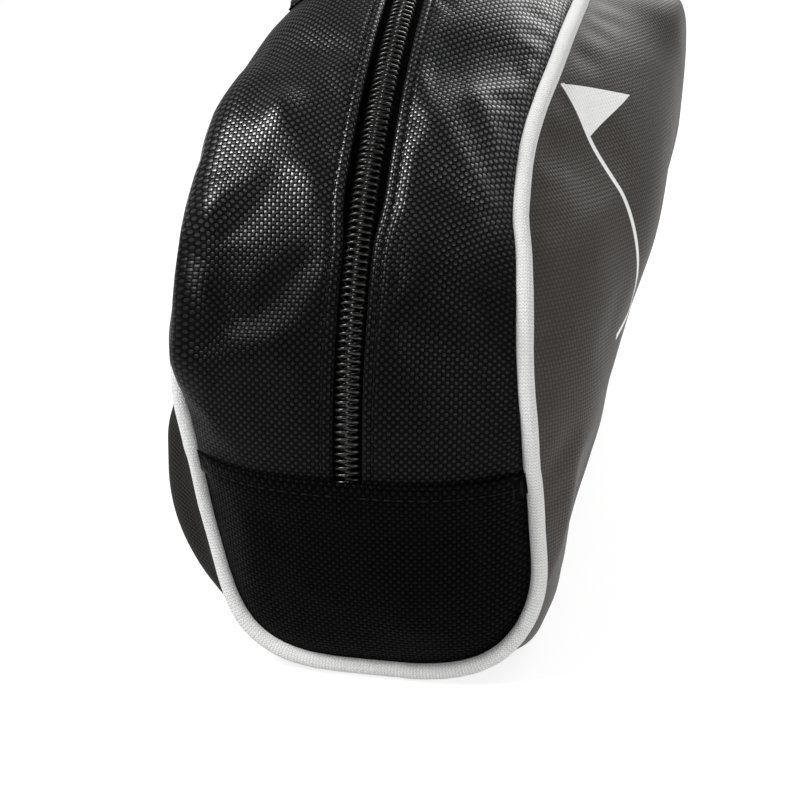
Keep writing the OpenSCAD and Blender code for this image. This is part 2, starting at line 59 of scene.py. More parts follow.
ARCH_HALF = BODY_LEN / 2 - END_R
ARCH_RISE = BODY_H - SEAM_H
TOP_R = (ARCH_HALF ** 2 + ARCH_RISE ** 2 - END_R ** 2) / (2 * (ARCH_RISE - END_R))
TOP_Z = BODY_H - TOP_R
KNEE = degrees(atan2(SEAM_H - TOP_Z, ARCH_HALF))
LOW_PHI = -degrees((SEAM_H - END_LIP) / END_R)
HALVES = ((1, "right"), (-1, "left"))
ENDS = ((-1, "front"), (1, "rear"))


# ---------------------------------------------------------------- curves and the bag's own shape
def ramp(x, low, high):
    """0 below low, 1 above high, and a smooth rise between."""
    t = min(1.0, max(0.0, (x - low) / (high - low)))
    return t * t * (3 - 2 * t)


def bump(x, middle, width):
    """1 at the middle, falling away smoothly on both sides."""
    return exp(-((x - middle) / width) ** 2)


def along(x, stops):
    """A smooth curve through the stops, each (place, value)."""
    if x <= stops[0][0]:
        return stops[0][1]
    if x >= stops[-1][0]:
        return stops[-1][1]
    i = max(k for k in range(len(stops) - 1) if stops[k][0] <= x)

    def slope(k):
        a, b = stops[max(0, k - 1)], stops[min(len(stops) - 1, k + 1)]
        return (b[1] - a[1]) / (b[0] - a[0])

    (x0, y0), (x1, y1) = stops[i], stops[i + 1]
    h = x1 - x0
    t = (x - x0) / h
    return (y0 * (1 + 2 * t) * (1 - t) ** 2 + slope(i) * h * t * (1 - t) ** 2
            + y1 * t * t * (3 - 2 * t) - slope(i + 1) * h * t * t * (1 - t))


def ridge(x, y, start, end, width):
    """How near (x, y) lies to the line from start to end: 1 on it, 0 well away from it."""
    dx, dy = end[0] - start[0], end[1] - start[1]
    t = min(1.0, max(0.0, ((x - start[0]) * dx + (y - start[1]) * dy) / (dx * dx + dy * dy)))
    return bump(hypot(x - start[0] - t * dx, y - start[1] - t * dy), 0, width)


def arch(phi, off=0.0):
    """The zip's line, phi 0 at the front seam and 180 at the rear: (y, z), off outwards from it."""
    side = -1 if phi < 90 else 1
    e = min(phi, 180 - phi)
    if e < 0:
        return side * (BODY_LEN / 2 + off), SEAM_H + END_R * radians(e)
    middle, low, r = (ARCH_HALF, SEAM_H, END_R) if e < KNEE else (0, TOP_Z, TOP_R)
    return side * (middle + (r + off) * cos(radians(e))), low + (r + off) * sin(radians(e))


def arch_out(phi):
    """The outward direction at a place on the arch."""
    e = max(0.0, min(180.0, phi))
    return Vector((0, -cos(radians(e)), sin(radians(e))))


def arch_lengths(phis):
    """Length along the arch from the first angle to each of them."""
    run = [0.0]
    for a, b in zip(phis, phis[1:]):
        (ya, za), (yb, zb) = arch(a), arch(b)
        run.append(run[-1] + hypot(yb - ya, zb - za))
    return run


def arch_walk(step, start=LOW_PHI, stop=180 - LOW_PHI):
    """Angles phi at equal steps of length along the arch, both ends included."""
    parts = 4000
    fine = [start + (stop - start) * k / parts for k in range(parts + 1)]
    run = arch_lengths(fine)
    count = max(1, round(run[-1] / step))
    out, k = [], 0
    for n in range(count + 1):
        while k < parts and run[k] < run[-1] * n / count:
            k += 1
        out.append(fine[k])
    return out


# Half width of the strip, how far its edge falls back, and how late it does so, along each side
EDGE = {
    1: [(-3, 49), (7, 48), (13, 46.8), (20, 45.5), (30, 44.4), (37, 43.4), (44, 41.3), (50, 40.8),
        (56, 42.6), (62, 45.4), (70, 48.2), (80, 50), (92, 50.5), (180, 49)],
    -1: [(-3, 49), (8, 52), (14, 53), (22, 52.8), (35, 52.4), (52, 51), (68, 50.5), (90, 50.5), (180, 49)],
}
FALL = {
    1: [(0, 17), (60, 17), (90, 17.5), (130, 15.5), (180, 17)],
    -1: [(0, 17), (10, 16.5), (18, 19.5), (30, 20.5), (48, 22), (57, 26), (66, 32), (75, 38), (88, 38),
         (104, 27), (122, 17), (180, 17)],
}
BEND = {
    1: [(0, 3), (180, 3)],
    -1: [(0, 3), (12, 5), (25, 7), (48, 8), (57, 5.8), (66, 4.1), (75, 3.1), (90, 2.9), (125, 3), (180, 3)],
}
ZIP_GAP, SLIDER_ROOM, CREST_ROOM = 4.15, 1.6, 0.1


def zip_half(phi):
    """Half the gap between the folded edges: close to the coil, a little wider where a slider runs."""
    e = min(phi, 180 - phi)
    return ZIP_GAP + SLIDER_ROOM * ramp(e, 32, 42) + CREST_ROOM * ramp(e, 60, 80)


def strip_point(side, phi, x, off=0.0):
    """A point of the strip, x millimetres from the zip's middle line."""
    v = x / along(phi, EDGE[side])
    y, z = arch(phi, off - along(phi, FALL[side]) * v ** along(phi, BEND[side]))
    return Vector((side * x, y, z))


def edge_point(side, phi):
    """A point of the seam between the strip and the piping."""
    return strip_point(side, phi, along(phi, EDGE[side]))


FOOT_Z = PIPING_R + 0.6
FOOT_DROP = END_LIP - FOOT_Z
FOOT_SHIFT = [(3, 5.0), (20, 5.2), (33, 4.5), (50, 2.2), (68, 0)]


def foot_shift(z, end):
    """How far the front foot stands to one side of the zip's line."""
    return along(z, FOOT_SHIFT) if end < 0 else 0.0


def foot_half(q):
    """Half the end panel's width."""
    return STRIP_W / 2 * max(0, 1 - q ** FOOT_POWER) ** (1 / FOOT_POWER)


def edge_set(q):
    """How far the end panel's side edges stand back from the bag's end."""
    return CROWN + (FOOT_SET - CROWN) * q * q + CORNER_SET * 4 * q * (1 - q)


def end_point(end, x, q, off=0.0):
    """A point of an end panel, end -1 at the front; x from its middle, q 0 at the seam and 1 at the foot."""
    middle = FOOT_SET * q ** 3
    v = min(1, abs(x) / max(0.01, foot_half(q)))
    z = END_LIP - FOOT_DROP * q
    out = BODY_LEN / 2 + off - middle - (edge_set(q) - middle) * v ** 3
    return Vector((x + foot_shift(z, end), end * out, z))


def foot_corner(t):
    """The foot's outline, t 90 at its lowest point and 0 at the seam: (x, q)."""
    power = 2 / FOOT_POWER
    return STRIP_W / 2 * max(0, cos(radians(t))) ** power, sin(radians(t)) ** power


def edge_line(side):
    """The seam line of one side, from the front foot over the top to the rear foot."""
    foot = [foot_corner(90 * (1 - k / 30) ** 1.5) for k in range(30)]
    points = [end_point(-1, side * x, q) for x, q in foot]
    points += [edge_point(side, phi) for phi in arch_walk(2.0)]
    return points + [end_point(1, side * x, q) for x, q in reversed(foot)]


def lengths(points):
    """Length along a line from its start to each of its points."""
    run = [0.0]
    for a, b in zip(points, points[1:]):
        run.append(run[-1] + (b - a).length)
    return run


def even(points, count, closed=False):
    """The same line with count points at equal distances."""
    line = points + points[:1] if closed else points
    run = lengths(line)
    out, k = [], 0
    for n in range(count):
        want = run[-1] * n / (count if closed else count - 1)
        while k < len(run) - 2 and run[k + 1] < want:
            k += 1
        out.append(line[k].lerp(line[k + 1], (want - run[k]) / max(1e-9, run[k + 1] - run[k])))
    return out


# ---------------------------------------------------------------- making pieces
def added(name, data):
    """A new object in the scene."""
    made = bpy.data.objects.new(name, data)
    bpy.context.scene.collection.objects.link(made)
    return made


def piece(name, bm, body="bag"):
    """A smooth piece that rides on a body, made from a finished bmesh."""
    mesh = bpy.data.meshes.new(name)
    bm.normal_update()
    bm.to_mesh(mesh)
    bm.free()
    for face in mesh.polygons:
        face.use_smooth = True
    made = added(name, mesh)
    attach(made, body)
    return made


def woven_sheet(columns, rows, place, flat=None, closed=False):
    """A grid whose corner (i, j) goes to place(i, j); its UV is its place on the flat cloth, in metres."""
    bm = bmesh.new()
    bmesh.ops.create_grid(bm, x_segments=columns, y_segments=rows, size=1)
    layer = bm.loops.layers.uv.new("Cloth")
    column, row = bm.verts.layers.float.new("column"), bm.verts.layers.float.new("row")
    for v in bm.verts:
        v[column], v[row] = round((v.co.x + 1) / 2 * columns), round((v.co.y + 1) / 2 * rows)
        v.co = place(int(v[column]), int(v[row])) * MM
    for face in bm.faces:
        for loop in face.loops:
            i, j = int(loop.vert[column]), int(loop.vert[row])
            a, b = flat(i, j) if flat else (i, j)
            loop[layer].uv = (a * MM, b * MM)
    if closed:
        bmesh.ops.remove_doubles(bm, verts=bm.verts, dist=1e-6)
    return bm


def cells(made):
    """The grid column and row of each point of a woven sheet."""
    data = made.data.attributes
    return [(round(c.value), round(r.value)) for c, r in zip(data["column"].data, data["row"].data)]


def outward(bm, centre=None):
    """Turns every face to look away from a centre, or from a closed shape's inside."""
    if centre is None:
        bmesh.ops.recalc_face_normals(bm, faces=bm.faces)
        return bm
    bm.normal_update()
    wrong = sum((f.calc_center_median() - Vector(centre) * MM).dot(f.normal) < 0 for f in bm.faces)
    if wrong > len(bm.faces) / 2:
        bmesh.ops.reverse_faces(bm, faces=bm.faces)
    return bm


def close_ends(bm):
    bmesh.ops.holes_fill(bm, edges=[e for e in bm.edges if e.is_boundary])
    return outward(bm)


def thicken(made, thickness):
    """Gives a sheet its thickness, inwards from its face."""
    wall = made.modifiers.new("Wall", "SOLIDIFY")
    wall.thickness = thickness * MM
    wall.offset = -1.0
    wall.use_even_offset = False
    return made


def soften(made):
    sub = made.modifiers.new("Soften", "SUBSURF")
    sub.levels = sub.render_levels = 1
    return made


SETTLE_FRAMES = 16
STRETCH_STIFFNESS = 6.0


def settle(made, held, slack, reach, pressure=0.0, bend=0.6):
    """Lets the cloth find its own folds between its sewn edges, each point within reach millimetres of its
    place; held(i, j) is 1 where a point can't move."""
    mesh = made.data
    rest = [v.co.copy() for v in mesh.vertices]
    grip = [held(i, j) for i, j in cells(made)]
    group = made.vertex_groups.new(name="Sewn")
    for index, weight in enumerate(grip):
        group.add([index], weight, "REPLACE")
    cloth = made.modifiers.new("Cloth", "CLOTH")
    facts = cloth.settings
    facts.quality = 6
    facts.mass = 0.25
    facts.tension_stiffness = facts.compression_stiffness = STRETCH_STIFFNESS
    facts.shear_stiffness = STRETCH_STIFFNESS / 2
    facts.bending_stiffness = bend
    facts.air_damping = 4
    facts.vertex_group_mass = "Sewn"
    facts.pin_stiffness = 20
    facts.shrink_min = facts.shrink_max = -slack
    facts.use_pressure = pressure > 0
    facts.uniform_pressure_force = pressure
    facts.effector_weights.gravity = 0.0
    cloth.collision_settings.use_collision = False
    cloth.collision_settings.use_self_collision = False
    cloth.point_cache.frame_start = 1
    cloth.point_cache.frame_end = SETTLE_FRAMES
    for number in range(1, SETTLE_FRAMES + 1):
        bpy.context.scene.frame_set(number)
    graph = bpy.context.evaluated_depsgraph_get()
    moved = [v.co.copy() for v in made.evaluated_get(graph).to_mesh().vertices]
    made.modifiers.clear()
    made.vertex_groups.clear()
    bpy.context.scene.frame_set(1)
    for v, old, new, weight in zip(mesh.vertices, rest, moved, grip):
        way, limit = new - old, reach * MM * (1 - weight)
        if way.length > limit:
            way = way * (limit / way.length)
        v.co = old + way
    mesh.update()
    return made


def under(made, name, top, bottom, keep, node, slot, look):
    """A hidden layer below a piece, from top to bottom millimetres in, where keep(i, j) is true."""
    bm = bmesh.new()
    bm.from_mesh(made.data)
    bm.normal_update()
    lost = [v for v, (i, j) in zip(bm.verts, cells(made)) if not keep(i, j)]
    for v in bm.verts:
        v.co -= v.normal * top * MM
    bmesh.ops.delete(bm, geom=lost, context="VERTS")
    layer = thicken(piece(name, bm), bottom - top)
    return dress(layer, slot, look, node)


def dress(made, slot, look, *nodes):
    """Gives a piece its finish, and hides the model's solids that it stands for, where they are given."""
    made.data.materials.clear()
    made.data.materials.append(look)
    if nodes:
        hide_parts(*nodes)
    return made


# ---------------------------------------------------------------- finishes
def operation(kind, swapped=False):
    """A method that adds one maths node."""
    def method(self, *others):
        values = (*others, self) if swapped else (self, *others)
        return self.finish.maths(kind, *values)
    return method


class Value:
    """A number or vector that varies over a surface, for use in an expression."""

    def __init__(self, finish, socket):
        self.finish, self.socket = finish, socket

    __add__, __radd__ = operation("ADD"), operation("ADD", swapped=True)
    __sub__, __rsub__ = operation("SUBTRACT"), operation("SUBTRACT", swapped=True)
    __mul__, __rmul__ = operation("MULTIPLY"), operation("MULTIPLY", swapped=True)
    __truediv__, __pow__, __abs__ = operation("DIVIDE"), operation("POWER"), operation("ABSOLUTE")
    floor, fract, sqrt = operation("FLOOR"), operation("FRACT"), operation("SQRT")
    cos, sin, most = operation("COSINE"), operation("SINE"), operation("MAXIMUM")

    def rise(self, low, high):
        """0 at low, 1 at high, smooth between."""
        return self.finish.node("ShaderNodeMapRange", {"interpolation_type": "SMOOTHSTEP"},
                                Value=self, **{"From Min": low, "From Max": high})


class Finish:
    """One material, and the nodes it is made of."""

    def __init__(self, name):
        self.material = bpy.data.materials.new(name)
        self.material.use_nodes = True
        self.tree = self.material.node_tree
        self.tree.nodes.clear()

    def node(self, kind, settings=None, out=0, **sockets):
        """Adds a node; a socket is named, or numbered as _0, _1 and on."""
        made = self.tree.nodes.new(kind)
        for key, value in (settings or {}).items():
            setattr(made, key, value)
        for key, value in sockets.items():
            self.feed(made.inputs[int(key[1:]) if key[0] == "_" else key], value)
        return Value(self, made.outputs[out])

    def feed(self, socket, value):
        if isinstance(value, Value):
            self.tree.links.new(value.socket, socket)
        elif socket.type == "RGBA" and len(value) == 3:
            socket.default_value = (*value, 1)
        else:
            socket.default_value = value

    def maths(self, operation, *values):
        sockets = {f"_{k}": value for k, value in enumerate(values)}
        return self.node("ShaderNodeMath", {"operation": operation}, **sockets)

    def mix(self, share, a, b):
        return self.node("ShaderNodeMix", {"data_type": "RGBA"}, 2, _0=share, _6=a, _7=b)

    def blend(self, share, a, b):
        return a + (b - a) * share

    def cloth(self, wide=1, tall=1):
        """The place on the flat cloth, across and along, counted in repeats of wide by tall millimetres."""
        place = self.node("ShaderNodeUVMap", {"uv_map": "Cloth"})
        return [self.node("ShaderNodeSeparateXYZ", None, k, _0=place) / (size * MM)
                for k, size in enumerate((wide, tall))]

    def spot(self):
        """The place on the bag, in metres."""
        return self.node("ShaderNodeTexCoord", None, 3)

    def tallness(self):
        """Height above the bag's foot, in metres."""
        return self.node("ShaderNodeSeparateXYZ", None, 2, Vector=self.spot())

    def grain(self, scale, detail=2.0):
        return self.node("ShaderNodeTexNoise", Vector=self.spot(), Scale=scale, Detail=detail)

    def chance(self, a, b):
        """A fixed random number for each cell (a, b)."""
        both = self.node("ShaderNodeCombineXYZ", _0=a, _1=b)
        return self.node("ShaderNodeTexWhiteNoise", {"noise_dimensions": "2D"}, Vector=both)

    def relief(self, height, depth, strength=1.0):
        return self.node("ShaderNodeBump", Strength=strength, Distance=depth * MM, Height=height)

    def ribs(self, height, worn, colour, rib_shade_share):
        """The colour of ribbed cloth, with painted shade between its ribs, and a little uneven."""
        dark = tuple(c * rib_shade_share for c in colour)
        return self.mix(height.rise(0.1, 0.9) * (0.7 + worn * 0.6), dark, colour)

    def shade(self, **sockets):
        shader = self.tree.nodes.new("ShaderNodeBsdfPrincipled")
        for key, value in sockets.items():
            self.feed(shader.inputs[key.replace("_", " ")], value)
        out = self.tree.nodes.new("ShaderNodeOutputMaterial")
        self.tree.links.new(shader.outputs[0], out.inputs[0])
        return self.material


# Near-black colour of the gaps between the yarns: painted shade.
GAP = (0.0004, 0.0004, 0.0005)
# The right side panel's yarn and gap, lighter and warmer than the cloth of the left side and the base:
# painted light and reflection on that side.
LIT_SIDE_GAP = (0.02, 0.0165, 0.014)
LIT_SIDE_YARN = (0.047, 0.039, 0.0325)
PRINT_INK = (0.88, 0.88, 0.87)
WARP, WEFT = 1.16, 1.12
LEAST = 0.0001


def basket_weave(name, yarn_colour, gap_shade_colour=GAP, warp=WARP, weft=WEFT, print_mask=None, rough=0.42,
                 depth=0.34, warp_painted_shade=0.3, shine=0.5, level=0.12, sheen=0.0, bend=1.4, painted_gloss_by_height=None):
    """A plain weave of flat yarns, warp and weft millimetres apart. The warp cells are painted darker and
    duller than the weft cells, a painted highlight on the weft floats that catch the light from above, and
    the gaps between the yarns take the gap colour, painted shade. Where the height range is given, as (low,
    high, share), the gloss falls from full at high to that share at low: a painted highlight on the upper
    part."""
    f = Finish(name)
    u, v = f.cloth(warp, weft)
    column, row = u.floor(), v.floor()
    a = ((u.fract() - 0.5) * pi).cos()
    b = ((v.fract() - 0.5) * pi).cos()
    weft_over = f.maths("FLOORED_MODULO", column + row, 2.0)
    lie_warp = (a.most(LEAST) ** 0.55) * (b * 0.75 + 0.25)
    lie_weft = (b.most(LEAST) ** 0.55) * (a * 0.75 + 0.25)
    height = f.blend(weft_over, lie_warp, lie_weft)
    plies = 5
    threads = f.blend(weft_over, (u * (2 * pi * plies)).sin(), (v * (2 * pi * plies)).sin())
    uneven = f.blend(weft_over, f.chance(column, 3.0), f.chance(row, 9.0))
    cell = f.chance(column, row)
    worn = f.grain(38.0, 3.0)
    # The warp-over cells are painted darker and duller than the weft-over cells: a painted highlight, as the
    # weft floats catch the light from above.
    crown = height.rise(0.12, 0.72) * (weft_over * (1 - warp_painted_shade) + warp_painted_shade)
    tone = crown * (0.8 + uneven * 0.25 + cell * 0.15) * (0.75 + worn * 0.5)
    # Low parts of the yarns fade to the gap colour: painted shade between the yarns.
    colour = f.mix(tone, gap_shade_colour, yarn_colour)
    gloss = crown * (0.75 + cell * 0.25 + worn * 0.3) * shine
    # Gloss fading towards the bottom by height: a painted highlight on the upper part, not wear.
    if painted_gloss_by_height:
        low, high, least = painted_gloss_by_height
        gloss = gloss * (f.tallness().rise(low * MM, high * MM) * (1 - least) + least)
    roughness = rough + 0.22 * (1 - height) + (worn - 0.5) * 0.12
    if print_mask:
        ink = print_mask(f) * (height + worn * 0.35).rise(0.12, 0.3)
        colour = f.mix(ink, colour, PRINT_INK)
        roughness = f.blend(ink, roughness, 0.55)
        gloss = gloss * (1 - ink)
    normal = f.relief(height + threads * 0.035 + cell * 0.12, depth)
    return f.shade(Base_Color=colour, Roughness=roughness, Normal=normal, Specular_IOR_Level=level,
                   Coat_Weight=gloss, Coat_Roughness=rough, Coat_IOR=bend, Coat_Normal=normal,
                   Sheen_Weight=sheen, Sheen_Roughness=0.4)


def knitted(name, colour, shade_colour, wide, tall):
    """A fine knitted tube: columns of small V stitches, with painted shade between them."""
    f = Finish(name)
    u, v = f.cloth(wide, tall)
    lean = abs(u.fract() - 0.5)
    stitch = ((v + lean * 1.1).fract() - 0.5) * pi
    height = stitch.cos() * ((lean * 2 * pi).sin() * 0.6 + 0.4)
    soil = f.grain(60.0, 3.0)
    fluff = f.grain(2600.0, 1.0)
    tone = height.rise(0.0, 0.75) * 0.7 + soil * 0.3
    return f.shade(Base_Color=f.mix(tone, shade_colour, colour), Roughness=0.82,
                   Normal=f.relief(height + fluff * 0.25, 0.22, 0.9), Sheen_Weight=0.25, Sheen_Roughness=0.5)


def twilled(name, colour, pitch, depth, rough, lean=0.0, level=0.25):
    """A fine twill or tape: slanting ribs over a close weft."""
    f = Finish(name)
    u, v = f.cloth(pitch, pitch)
    rib = ((u + v * lean).fract() - 0.5) * pi
    weft = ((v * 2).fract() - 0.5) * pi
    height = rib.cos() * (weft.cos() * 0.35 + 0.65)
    worn = f.grain(90.0, 3.0)
    return f.shade(Base_Color=f.ribs(height, worn, colour, 0.35), Roughness=rough,
                   Normal=f.relief(height, depth, 0.9), Specular_IOR_Level=level)


def webbing_weave(name, colour):
    """Heavy webbing: herringbone ribs in bands across its width."""
    f = Finish(name)
    u, v = f.cloth(2.5, 1.3)
    lean = abs(u.fract() - 0.5) * 2
    rib = ((v + lean * 1.5).fract() - 0.5) * pi
    height = rib.cos() * (1 - ((lean - 0.5) * 2) ** 8 * 0.4)
    fine = (v * (2 * pi * 3)).sin()
    worn = f.grain(70.0, 3.0)
    return f.shade(Base_Color=f.ribs(height, worn, colour, 0.25), Roughness=0.5 + worn * 0.2,
                   Normal=f.relief(height + fine * 0.06, 0.35, 0.9), Sheen_Weight=0.1, Sheen_Roughness=0.5)


def speckled(name, colour, rough, depth, scale, coat=0.0, wear=0.0, level=0.5):
    """A cast, moulded or spun surface with fine grain and slight handling marks."""
    f = Finish(name)
    fine = f.grain(scale)
    broad = f.grain(60.0, 4.0)
    light = tuple(min(1, c * (1.25 + wear)) for c in colour)
    dark = tuple(c * 0.8 for c in colour)
    return f.shade(Base_Color=f.mix(broad, dark, light), Coat_Weight=coat, Specular_IOR_Level=level,
                   Roughness=rough + (broad - 0.5) * 0.25 + (fine - 0.5) * 0.1,
                   Normal=f.relief(fine, depth, 0.6))


# The left side panel and the base: the side cloth painted darker than the right side's, as painted shade.
shaded_shell_weave = basket_weave("shaded_shell_weave", (0.02, 0.018, 0.016), rough=0.5, depth=0.16, warp_painted_shade=0.5, shine=0.06,
                           level=0.02)
# The strip's gloss is full above 160 mm and fades to a share of 0.06 below 116 mm: a painted highlight on its
# upper part.
strip_weave = basket_weave("strip_weave", (0.009, 0.009, 0.0095), rough=0.31, depth=0.1, warp_painted_shade=0.16, shine=1.0,
                           level=0.02, sheen=0.05, bend=2.0, painted_gloss_by_height=(116, 160, 0.06))
# The end panels: the strip's cloth with darker yarn and far less gloss, a shaded copy; painted shade on the
# end faces.
shaded_end_weave = basket_weave("shaded_end_weave", (0.003, 0.003, 0.0033), rough=0.36, depth=0.16, warp_painted_shade=0.15, shine=0.08,
                         level=0.01)
sleeve_weave = basket_weave("sleeve_weave", (0.02, 0.02, 0.021), warp=0.9, weft=0.9, depth=0.25, shine=0.8)
piping_knit = knitted("piping_knit", (0.86, 0.86, 0.85), (0.5, 0.5, 0.5), 1.0, 0.95)
cord_fibre = speckled("cord_fibre", (0.8, 0.8, 0.78), 0.9, 0.1, 1500.0)
foam_cells = speckled("foam_cells", (0.45, 0.45, 0.44), 0.95, 0.2, 1800.0)
lining_knit = twilled("lining_knit", (0.12, 0.12, 0.13), 0.8, 0.15, 0.85)
binding_weave = twilled("binding_weave", (0.05, 0.05, 0.055), 0.7, 0.15, 0.8)
tape_weave = twilled("tape_weave", (0.002, 0.002, 0.0022), 0.6, 0.14, 0.8, lean=1.0, level=0.02)
coil_nylon = speckled("coil_nylon", (0.005, 0.0052, 0.0045), 0.3, 0.01, 1500.0, coat=0.35, level=0.3)
slider_enamel = speckled("slider_enamel", (0.022, 0.022, 0.024), 0.3, 0.01, 700.0, coat=0.4, wear=0.6)
pull_moulding = speckled("pull_moulding", (0.024, 0.024, 0.025), 0.6, 0.04, 1600.0)
strap_weave = webbing_weave("strap_weave", (0.032, 0.032, 0.034))
thread_spun = speckled("thread_spun", (0.005, 0.005, 0.0055), 0.7, 0.05, 4000.0, level=0.1)


# ---------------------------------------------------------------- the strip over the top, in two halves
ZIP_START, ZIP_END = -6.5, 186.5
STRIP_START, STRIP_END = -5.4, 185.4
ARCH_PHIS = arch_walk(1.0, ZIP_START, ZIP_END)
ARCH_RUN = arch_lengths(ARCH_PHIS)


def run_at(phi):
    """Length along the zip from its front end."""
    last = len(ARCH_PHIS) - 1
    k = max(0, min(last - 1, int((phi - ZIP_START) / (ZIP_END - ZIP_START) * last)))
    while k > 0 and ARCH_PHIS[k] > phi:
        k -= 1
    while k < last - 1 and ARCH_PHIS[k + 1] < phi:
        k += 1
    t = (phi - ARCH_PHIS[k]) / (ARCH_PHIS[k + 1] - ARCH_PHIS[k])
    return ARCH_RUN[k] + (ARCH_RUN[k + 1] - ARCH_RUN[k]) * t


# Folds pressed into each half: height, start and end (angle along the strip, distance from the zip), width.
# FOLD_SCALE takes an angle to millimetres for a fold's width, HANDLE_PHIS is where the handle is sewn down,
# and ROLL is how far the left half's cloth swells out over its piping.
FOLD_SCALE = 1.9
HANDLE_PHIS = (71.5, 108.5)
ROLL = 4.4
FOLDS = {
    1: [(1.5, (49.4, 18), (37, 43), 5), (1.3, (53.4, 27), (47, 42), 4), (-1.5, (56, 15), (60, 36), 6),
        (-1.0, (44, 22), (41, 36), 4), (-1.2, (20, 24), (14, 40), 6), (1.0, (27, 20), (24, 42), 7),
        (-1.4, (128, 16), (120, 40), 7), (1.3, (140, 20), (134, 44), 6), (-1.0, (158, 22), (150, 42), 6)],
    -1: [(2.3, (49.6, 27), (38, 42), 6), (1.6, (49.6, 27), (41, 10), 5), (-2.0, (57, 22), (60, 42), 7),
         (-1.6, (35.6, 51), (21.3, 32), 3.5), (1.2, (18, 22), (12, 40), 6), (-1.2, (30, 14), (22, 26), 5),
         (1.6, (130, 18), (120, 42), 7), (-1.5, (141, 18), (134, 44), 5), (1.0, (158, 20), (150, 44), 6)],
}


def at_handle(phi, width):
    """1 where the handle is sewn down, along the strip."""
    return max(bump(phi, place, width) for place in HANDLE_PHIS)


def roll_over(side, phi):
    """Where the left half's cloth swells out over its piping."""
    return ramp(phi, 4, 16) * (1 - 0.5 * ramp(phi, 50, 62)) * (1 - ramp(phi, 80, 96)) if side < 0 else 0.0


def strip_relief(side, phi, x):
    """How far the cloth stands proud of the strip's even shape."""
    half, gap = along(phi, EDGE[side]), zip_half(phi)
    free = ramp(x, gap + 3.2, gap + 9) * ramp(half - x, 2.5, 9)
    sewn = 1 - ramp(x, 12, 16) * ramp(-x, -48, -44) * at_handle(phi, 6)
    lift = sum(h * ridge(phi * FOLD_SCALE, x, (a[0] * FOLD_SCALE, a[1]), (b[0] * FOLD_SCALE, b[1]), w)
               for h, a, b, w in FOLDS[side])
    lift += 1.1 * noise.noise(Vector((phi * 0.055, x * 0.035, side * 7.3)))
    seam = 0.56 * bump(half - x, 4.5, 4) * noise.noise(Vector((phi * 0.42, side * 3.1, 1.7)))
    full = ROLL * roll_over(side, phi) * bump(half - x, 7, 6.5)
    return (lift * free + seam) * sewn + full


def cloth_point(side, phi, x, off=0.0):
    """A point of the strip's cloth, with its folds."""
    p = strip_point(side, phi, x, off + strip_relief(side, phi, x))
    p.x += side * ROLL * roll_over(side, phi) * bump(along(phi, EDGE[side]) - x, 4.2, 3.6)
    return p


# The hem along the zip, its stitched groove first, then its fold, then the part that is turned under; and the
# edge that goes down into the piping's seam. Each point is (distance from the edge, height).
HEM_LINE, FOLD_R = 3.0, 1.4
HEM = [(3.9, 0.12), (3.45, 0.02), (HEM_LINE, -0.38), (2.55, 0.04), (2.0, 0.14), (1.4, 0.1)]
HEM += [(FOLD_R + (FOLD_R + 0.02) * cos(radians(a)), -1.3 + FOLD_R * sin(radians(a)))
        for a in (112, 135, 158, 180, 205, 235, 270)]
HEM += [(4.0, -2.7), (9.0, -2.7)]
TUCK = [(0.9, -1.9), (1.9, -1.15), (3.1, -0.42), (4.6, -0.08), (6.4, 0)]
OPEN_COLS = 20
STITCH_COL = len(TUCK) + OPEN_COLS + 2
FOLD_COL = STITCH_COL + 7


def strip_section(phi, side):
    """The strip's columns from the piping to the turned-under edge: (distance from the zip, height)."""
    half, gap = along(phi, EDGE[side]), zip_half(phi)
    a, b = half - TUCK[-1][0], gap + HEM[0][0]
    cols = [(half - x, off) for x, off in TUCK]
    cols += [(a + (b - a) * (k + 1) / (OPEN_COLS + 1), 0) for k in range(OPEN_COLS)]
    return cols + [(gap + x, off) for x, off in HEM]


def make_strip_half(side, name, node):
    phis = arch_walk(2.4, STRIP_START, STRIP_END)
    sections = [strip_section(phi, side) for phi in phis]

    def place(i, j):
        return cloth_point(side, phis[j], *sections[j][i])

    def flat(i, j):
        low, high = sorted((i, FOLD_COL))
        cols = sections[j][low:high + 1]
        run = sum(hypot(b[0] - a[0], b[1] - a[1]) for a, b in zip(cols, cols[1:]))
        return side * run * (1 if i < FOLD_COL else -1), run_at(phis[j])

    def held(i, j):
        if i < 3 or i >= STITCH_COL - 1 or j < 4 or j > len(phis) - 5:
            return 1.0
        x = sections[j][i][0]
        near = at_handle(phis[j], 7) * ramp(x, 10, 15) * ramp(-x, -50, -44)
        return min(1.0, 1.6 * near) if side < 0 else 0.0

    bm = outward(woven_sheet(len(sections[0]) - 1, len(phis) - 1, place, flat), (0, 0, 60))
    made = settle(piece(name, bm), held, pressure=0.25, slack=0.005, reach=0.8)
    soften(made)
    dress(made, "strip_fabric", strip_weave, node)
    return made, len(phis)


BINDING_TOP, BINDING_BOTTOM = 2.2, 3.0
strips = {side: make_strip_half(side, f"zip_gusset_cloth_{word}", f"zip_gusset_{word}")
          for side, word in HALVES}
for side, word in HALVES:
    made, rows = strips[side]
    under(made, f"seam_binding_tape_{word}", BINDING_TOP, BINDING_BOTTOM,
          lambda i, j: 3 <= i <= 8 and 6 <= j <= rows - 7,
          f"seam_binding_{word}", "binding_tape", binding_weave)
    thicken(made, FABRIC_T)


# ---------------------------------------------------------------- end panels below the cross seams
CORNER_Q = 0.5 ** (1 / FOOT_POWER)


